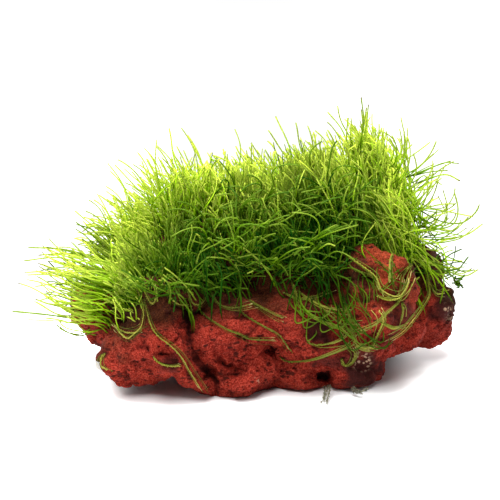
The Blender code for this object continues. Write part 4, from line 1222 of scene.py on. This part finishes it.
# The across, up and depth of the places that each stray passes.
STRAYS = [
    [(-42, -20, -12), (-50, -20.8, -16), (-61, -19.4, -18), (-72, -18.3, -18)],
    [(-43, -21.5, -16), (-49.5, -25.5, -18), (-54, -25, -19), (-58.5, -22.2, -19)],
    [(-42, -12, -10), (-55, -10, -12), (-65, -11, -13)],
    [(-42, -8, -6), (-56, -2.5, -8), (-68.5, -3.3, -8)],
    [(-42, -4, -2), (-56, 0, -2), (-67, 0.8, -3)],
    [(-40, 4, 2), (-47, 7, 2), (-50.5, 5.4, 1)],
    [(33, 30, 0), (34, 39, 1), (33.3, 46.2, 1)],
    [(48, 22, 4), (55, 25, 4), (60.5, 26.8, 4)],
    [(50, 20, 0), (58.2, 22.6, -1), (63.3, 20.6, -2)],
    [(50, 12.5, -1), (57, 8.7, -4), (63.3, 8.1, -6), (67.5, 11.1, -6), (69, 14.1, -6)],
    [(51, 7, 4), (57, 6.4, 3), (61.2, 8, 3), (62.4, 12.3, 3), (61.2, 17.8, 3)],
    [(52, 3, -1), (59, 3.4, -4), (65, 4.6, -5), (70.2, 8.1, -5)],
    [(48, 4, -6), (50, 1, -7), (54, -3, -9), (60, -7.2, -10), (61.8, -9.4, -10)],
    [(54, -4, 0), (59.7, -6.5, -1), (64.5, -7.8, -1), (68.7, -5.7, -1)],
]
STRAY_STEPS = 26
BESIDE = 4

# The stray that ends in a knot, by its number in the list, and the knot's shoots.
KNOTTED = 12
SHOOTS = 16

stray_rng = np.random.default_rng(23)


def curves_through(tables, steps):
    """A smooth curve through the places of each table, which are across, up and depth."""
    rows = [np.array(table, float) for table in tables]
    return np.stack([bowed(seen_places(row[:, :2], row[:, 2]), steps) for row in rows])


def even_radii(paths, radius, rng):
    """Leafy radii for paths that all have the same radius."""
    count, steps, _ = paths.shape
    return leafy_radii(count, steps, np.full(count, radius), rng)


main = curves_through(STRAYS, STRAY_STEPS)
owner = np.repeat(np.arange(len(STRAYS)), BESIDE)
share = stray_rng.uniform(0.45, 0.9, (len(owner), 1, 1))
t = np.linspace(0, 1, STRAY_STEPS)[None, :, None]
first = main[owner, :1]
away = unit(stray_rng.normal(size=(len(owner), 1, 3)))
away = away * stray_rng.uniform(1, 4.5, (len(owner), 1, 1))
shifted = first + 1.2 * stray_rng.normal(size=(len(owner), 1, 3))
beside = shifted + (main[owner] - first) * share + away * t**1.5
feet = main[KNOTTED, -1] + 0.5 * stray_rng.normal(size=(SHOOTS, 3))
begin = unit(stray_rng.normal(size=(SHOOTS, 3)))
end = unit(stray_rng.normal(size=(SHOOTS, 3)))
length = stray_rng.uniform(1.5, 3.5, SHOOTS)
knot = grown(feet, begin, end, length, STRAY_STEPS, 0.3, stray_rng)
main_radii = even_radii(main, 0.24, stray_rng)
main_tones = stray_rng.uniform(0.3, 0.55, len(main))
main_tones[KNOTTED] = 0.2
stray_batches = [
    (main, main_radii, main_tones),
    (beside, even_radii(beside, 0.2, stray_rng), stray_rng.uniform(0.3, 0.55, len(owner))),
    (knot, even_radii(knot, 0.26, stray_rng), np.full(SHOOTS, 0.12)),
]
strays = strand_piece("long_strays", stray_batches, 4, willow_moss, stray_rng)
beginnings = ("stray_", "spray_", "curl_left", "curl_right")
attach(strays, "root")
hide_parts(*[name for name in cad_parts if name.startswith(beginnings)])

# The wisps
# Two dead, grey-green ends of moss that stick out from under the stone on to the table. They
# are frayed into fine hairs.

# The across, up and depth of the places that each thread of a wisp passes.
WISPS = {
    "wisp_front": [
        [(23.5, -40.2, -34), (22.8, -43, -41), (21.2, -46.4, -49)],
        [(24.2, -40.2, -34), (23.6, -43, -41), (22.9, -46.2, -48)],
        [(22.3, -40.6, -34), (22.4, -43.5, -41), (22.3, -45.4, -46)],
    ],
    "wisp_right": [
        [(30.6, -40.8, -34), (32.7, -42.5, -37), (35.6, -41.6, -36.6)],
        [(30.2, -41.4, -34), (31.8, -42.7, -36), (33.6, -42.9, -36)],
    ],
}
WISP_STEPS = 20
WISP_RADIUS = 0.16
HAIRS_EACH = 60
HAIR_LENGTH = 1.1
LOWEST_HAIR = 0.15
LOWEST_THREAD = 0.25

dry_moss = strand_material(
    "dry_moss",
    colour(0.100, 0.090, 0.055),
    colour(0.180, 0.165, 0.100),
    colour(0.300, 0.290, 0.200),
    colour(0.380, 0.360, 0.270),
    0.3,
)
wisp_rng = np.random.default_rng(31)
for name, tables in WISPS.items():
    threads = curves_through(tables, WISP_STEPS)
    radii = even_radii(threads, WISP_RADIUS, wisp_rng)
    hairs, hair_radii, _ = leaves_of(threads, radii, HAIRS_EACH, HAIR_LENGTH, wisp_rng)
    threads[:, :, 2] = np.maximum(threads[:, :, 2], LOWEST_THREAD)
    hairs[:, :, 2] = np.maximum(hairs[:, :, 2], LOWEST_HAIR)
    wisp_batches = [
        (threads, radii, wisp_rng.uniform(0.3, 0.8, len(threads))),
        (hairs, hair_radii * 0.7, wisp_rng.uniform(0.2, 0.95, len(hairs))),
    ]
    wisp = strand_piece(name + "_frayed", wisp_batches, 3, dry_moss, wisp_rng)
    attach(wisp, "root")
    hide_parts(name)

# The studio
# The stone stands on a white table in soft light from all round, a little stronger from
# above on the left. It is seen from the front and slightly above, through a long lens.

LENS = 120
SENSOR = 36


def turned(made, place, aim):
    """Puts a lamp or camera at a place, turned so that it looks at its aim."""
    made.location = place
    made.rotation_mode = "QUATERNION"
    made.rotation_quaternion = (Vector(aim) - Vector(place)).to_track_quat("-Z", "Y")


camera = placed("camera", bpy.data.cameras.new("camera"))
camera.data.lens = LENS
camera.data.sensor_width = SENSOR
camera.data.clip_start = 0.01
camera.data.clip_end = 20
turned(camera, EYE * MM, MIDDLE * MM)
bpy.context.scene.camera = camera

# The table fades into pure white around the stone, as in an overexposed studio shot: a glow
# that only the camera sees comes in with the distance, and sooner on the right and the left.
TABLE_REACH = 3.0
TABLE_TOP = -0.0001
WHITE_FROM, WHITE_AT = 0.058, 0.09

table_white, tree, shader = new_material("table_white", 0.7, 0.1)
place = tree.nodes.new("ShaderNodeTexCoord").outputs["Object"]
grain = noise(tree, place, 400.0, 2.0)[0]
tint = mixed(tree, grain, colour(0.92, 0.92, 0.92), colour(0.94, 0.94, 0.94))
seen = tree.nodes.new("ShaderNodeLightPath").outputs["Is Camera Ray"]
away = node(tree, "ShaderNodeVectorMath", {0: place}, operation="LENGTH").outputs["Value"]
across = node(tree, "ShaderNodeSeparateXYZ", {0: place}).outputs[0]
far_off = eased(tree, away, WHITE_FROM, WHITE_AT)
# Beside the stone on the right and the left the glow comes in sooner: painted light over the
# stone's soft shadows there.
glow = math(tree, "MULTIPLY_ADD", eased(tree, across, 0.040, 0.056), 0.45, far_off)
glow = math(tree, "MULTIPLY_ADD", eased(tree, across, -0.033, -0.042), 0.6, glow)
tint = mixed(tree, math(tree, "MULTIPLY", far_off, seen), tint, colour(0.0, 0.0, 0.0))
tree.links.new(tint, shader.inputs["Base Color"])
tree.links.new(math(tree, "MULTIPLY", glow, seen), shader.inputs["Emission Strength"])
shader.inputs["Emission Color"].default_value = colour(1.0, 1.0, 1.0)

table_corners = [
    (across * TABLE_REACH, along * TABLE_REACH, TABLE_TOP)
    for across, along in ((-1, -1), (1, -1), (1, 1), (-1, 1))
]
table_mesh = bpy.data.meshes.new("table")
table_mesh.from_pydata(table_corners, [], [(0, 1, 2, 3)])
table_mesh.materials.append(table_white)
placed("table", table_mesh)

# The light tent: plain white as the camera sees it, and dim light for all else.
TENT_LIGHT = 0.07
world = bpy.data.worlds.new("light_tent")
world.use_nodes = True
tent = world.node_tree
backdrop = tent.nodes["Background"]
backdrop.inputs["Color"].default_value = colour(1.0, 1.0, 1.0)
seen = tent.nodes.new("ShaderNodeLightPath").outputs["Is Camera Ray"]
strength = node(tent, "ShaderNodeMapRange", {0: seen, 3: TENT_LIGHT, 4: 1.0}).outputs[0]
tent.links.new(strength, backdrop.inputs["Strength"])
bpy.context.scene.world = world
bpy.context.scene.view_settings.view_transform = "Standard"

# The square lamps: the place and the aim of each and its width, in metres, and its watts.
LAMPS = {
    "overhead": ((-0.13, 0.15, 0.80), (0, 0, 0.03), 0.6, 23.0),
    "behind": ((0.05, 0.75, 0.42), (0, 0, 0.04), 0.9, 7.0),
    "front": ((-0.10, -0.42, 0.78), (0, 0, 0.03), 0.4, 5.4),
    "left": ((-0.80, -0.25, 0.28), (0, 0, 0.02), 0.6, 2.0),
    "right": ((0.85, -0.15, 0.28), (0, 0, 0.02), 0.6, 1.2),
}
for name, (place, aim, width, watts) in LAMPS.items():
    lamp = bpy.data.lights.new(name, "AREA")
    lamp.size = width
    lamp.energy = watts
    turned(placed(name, lamp), place, aim)
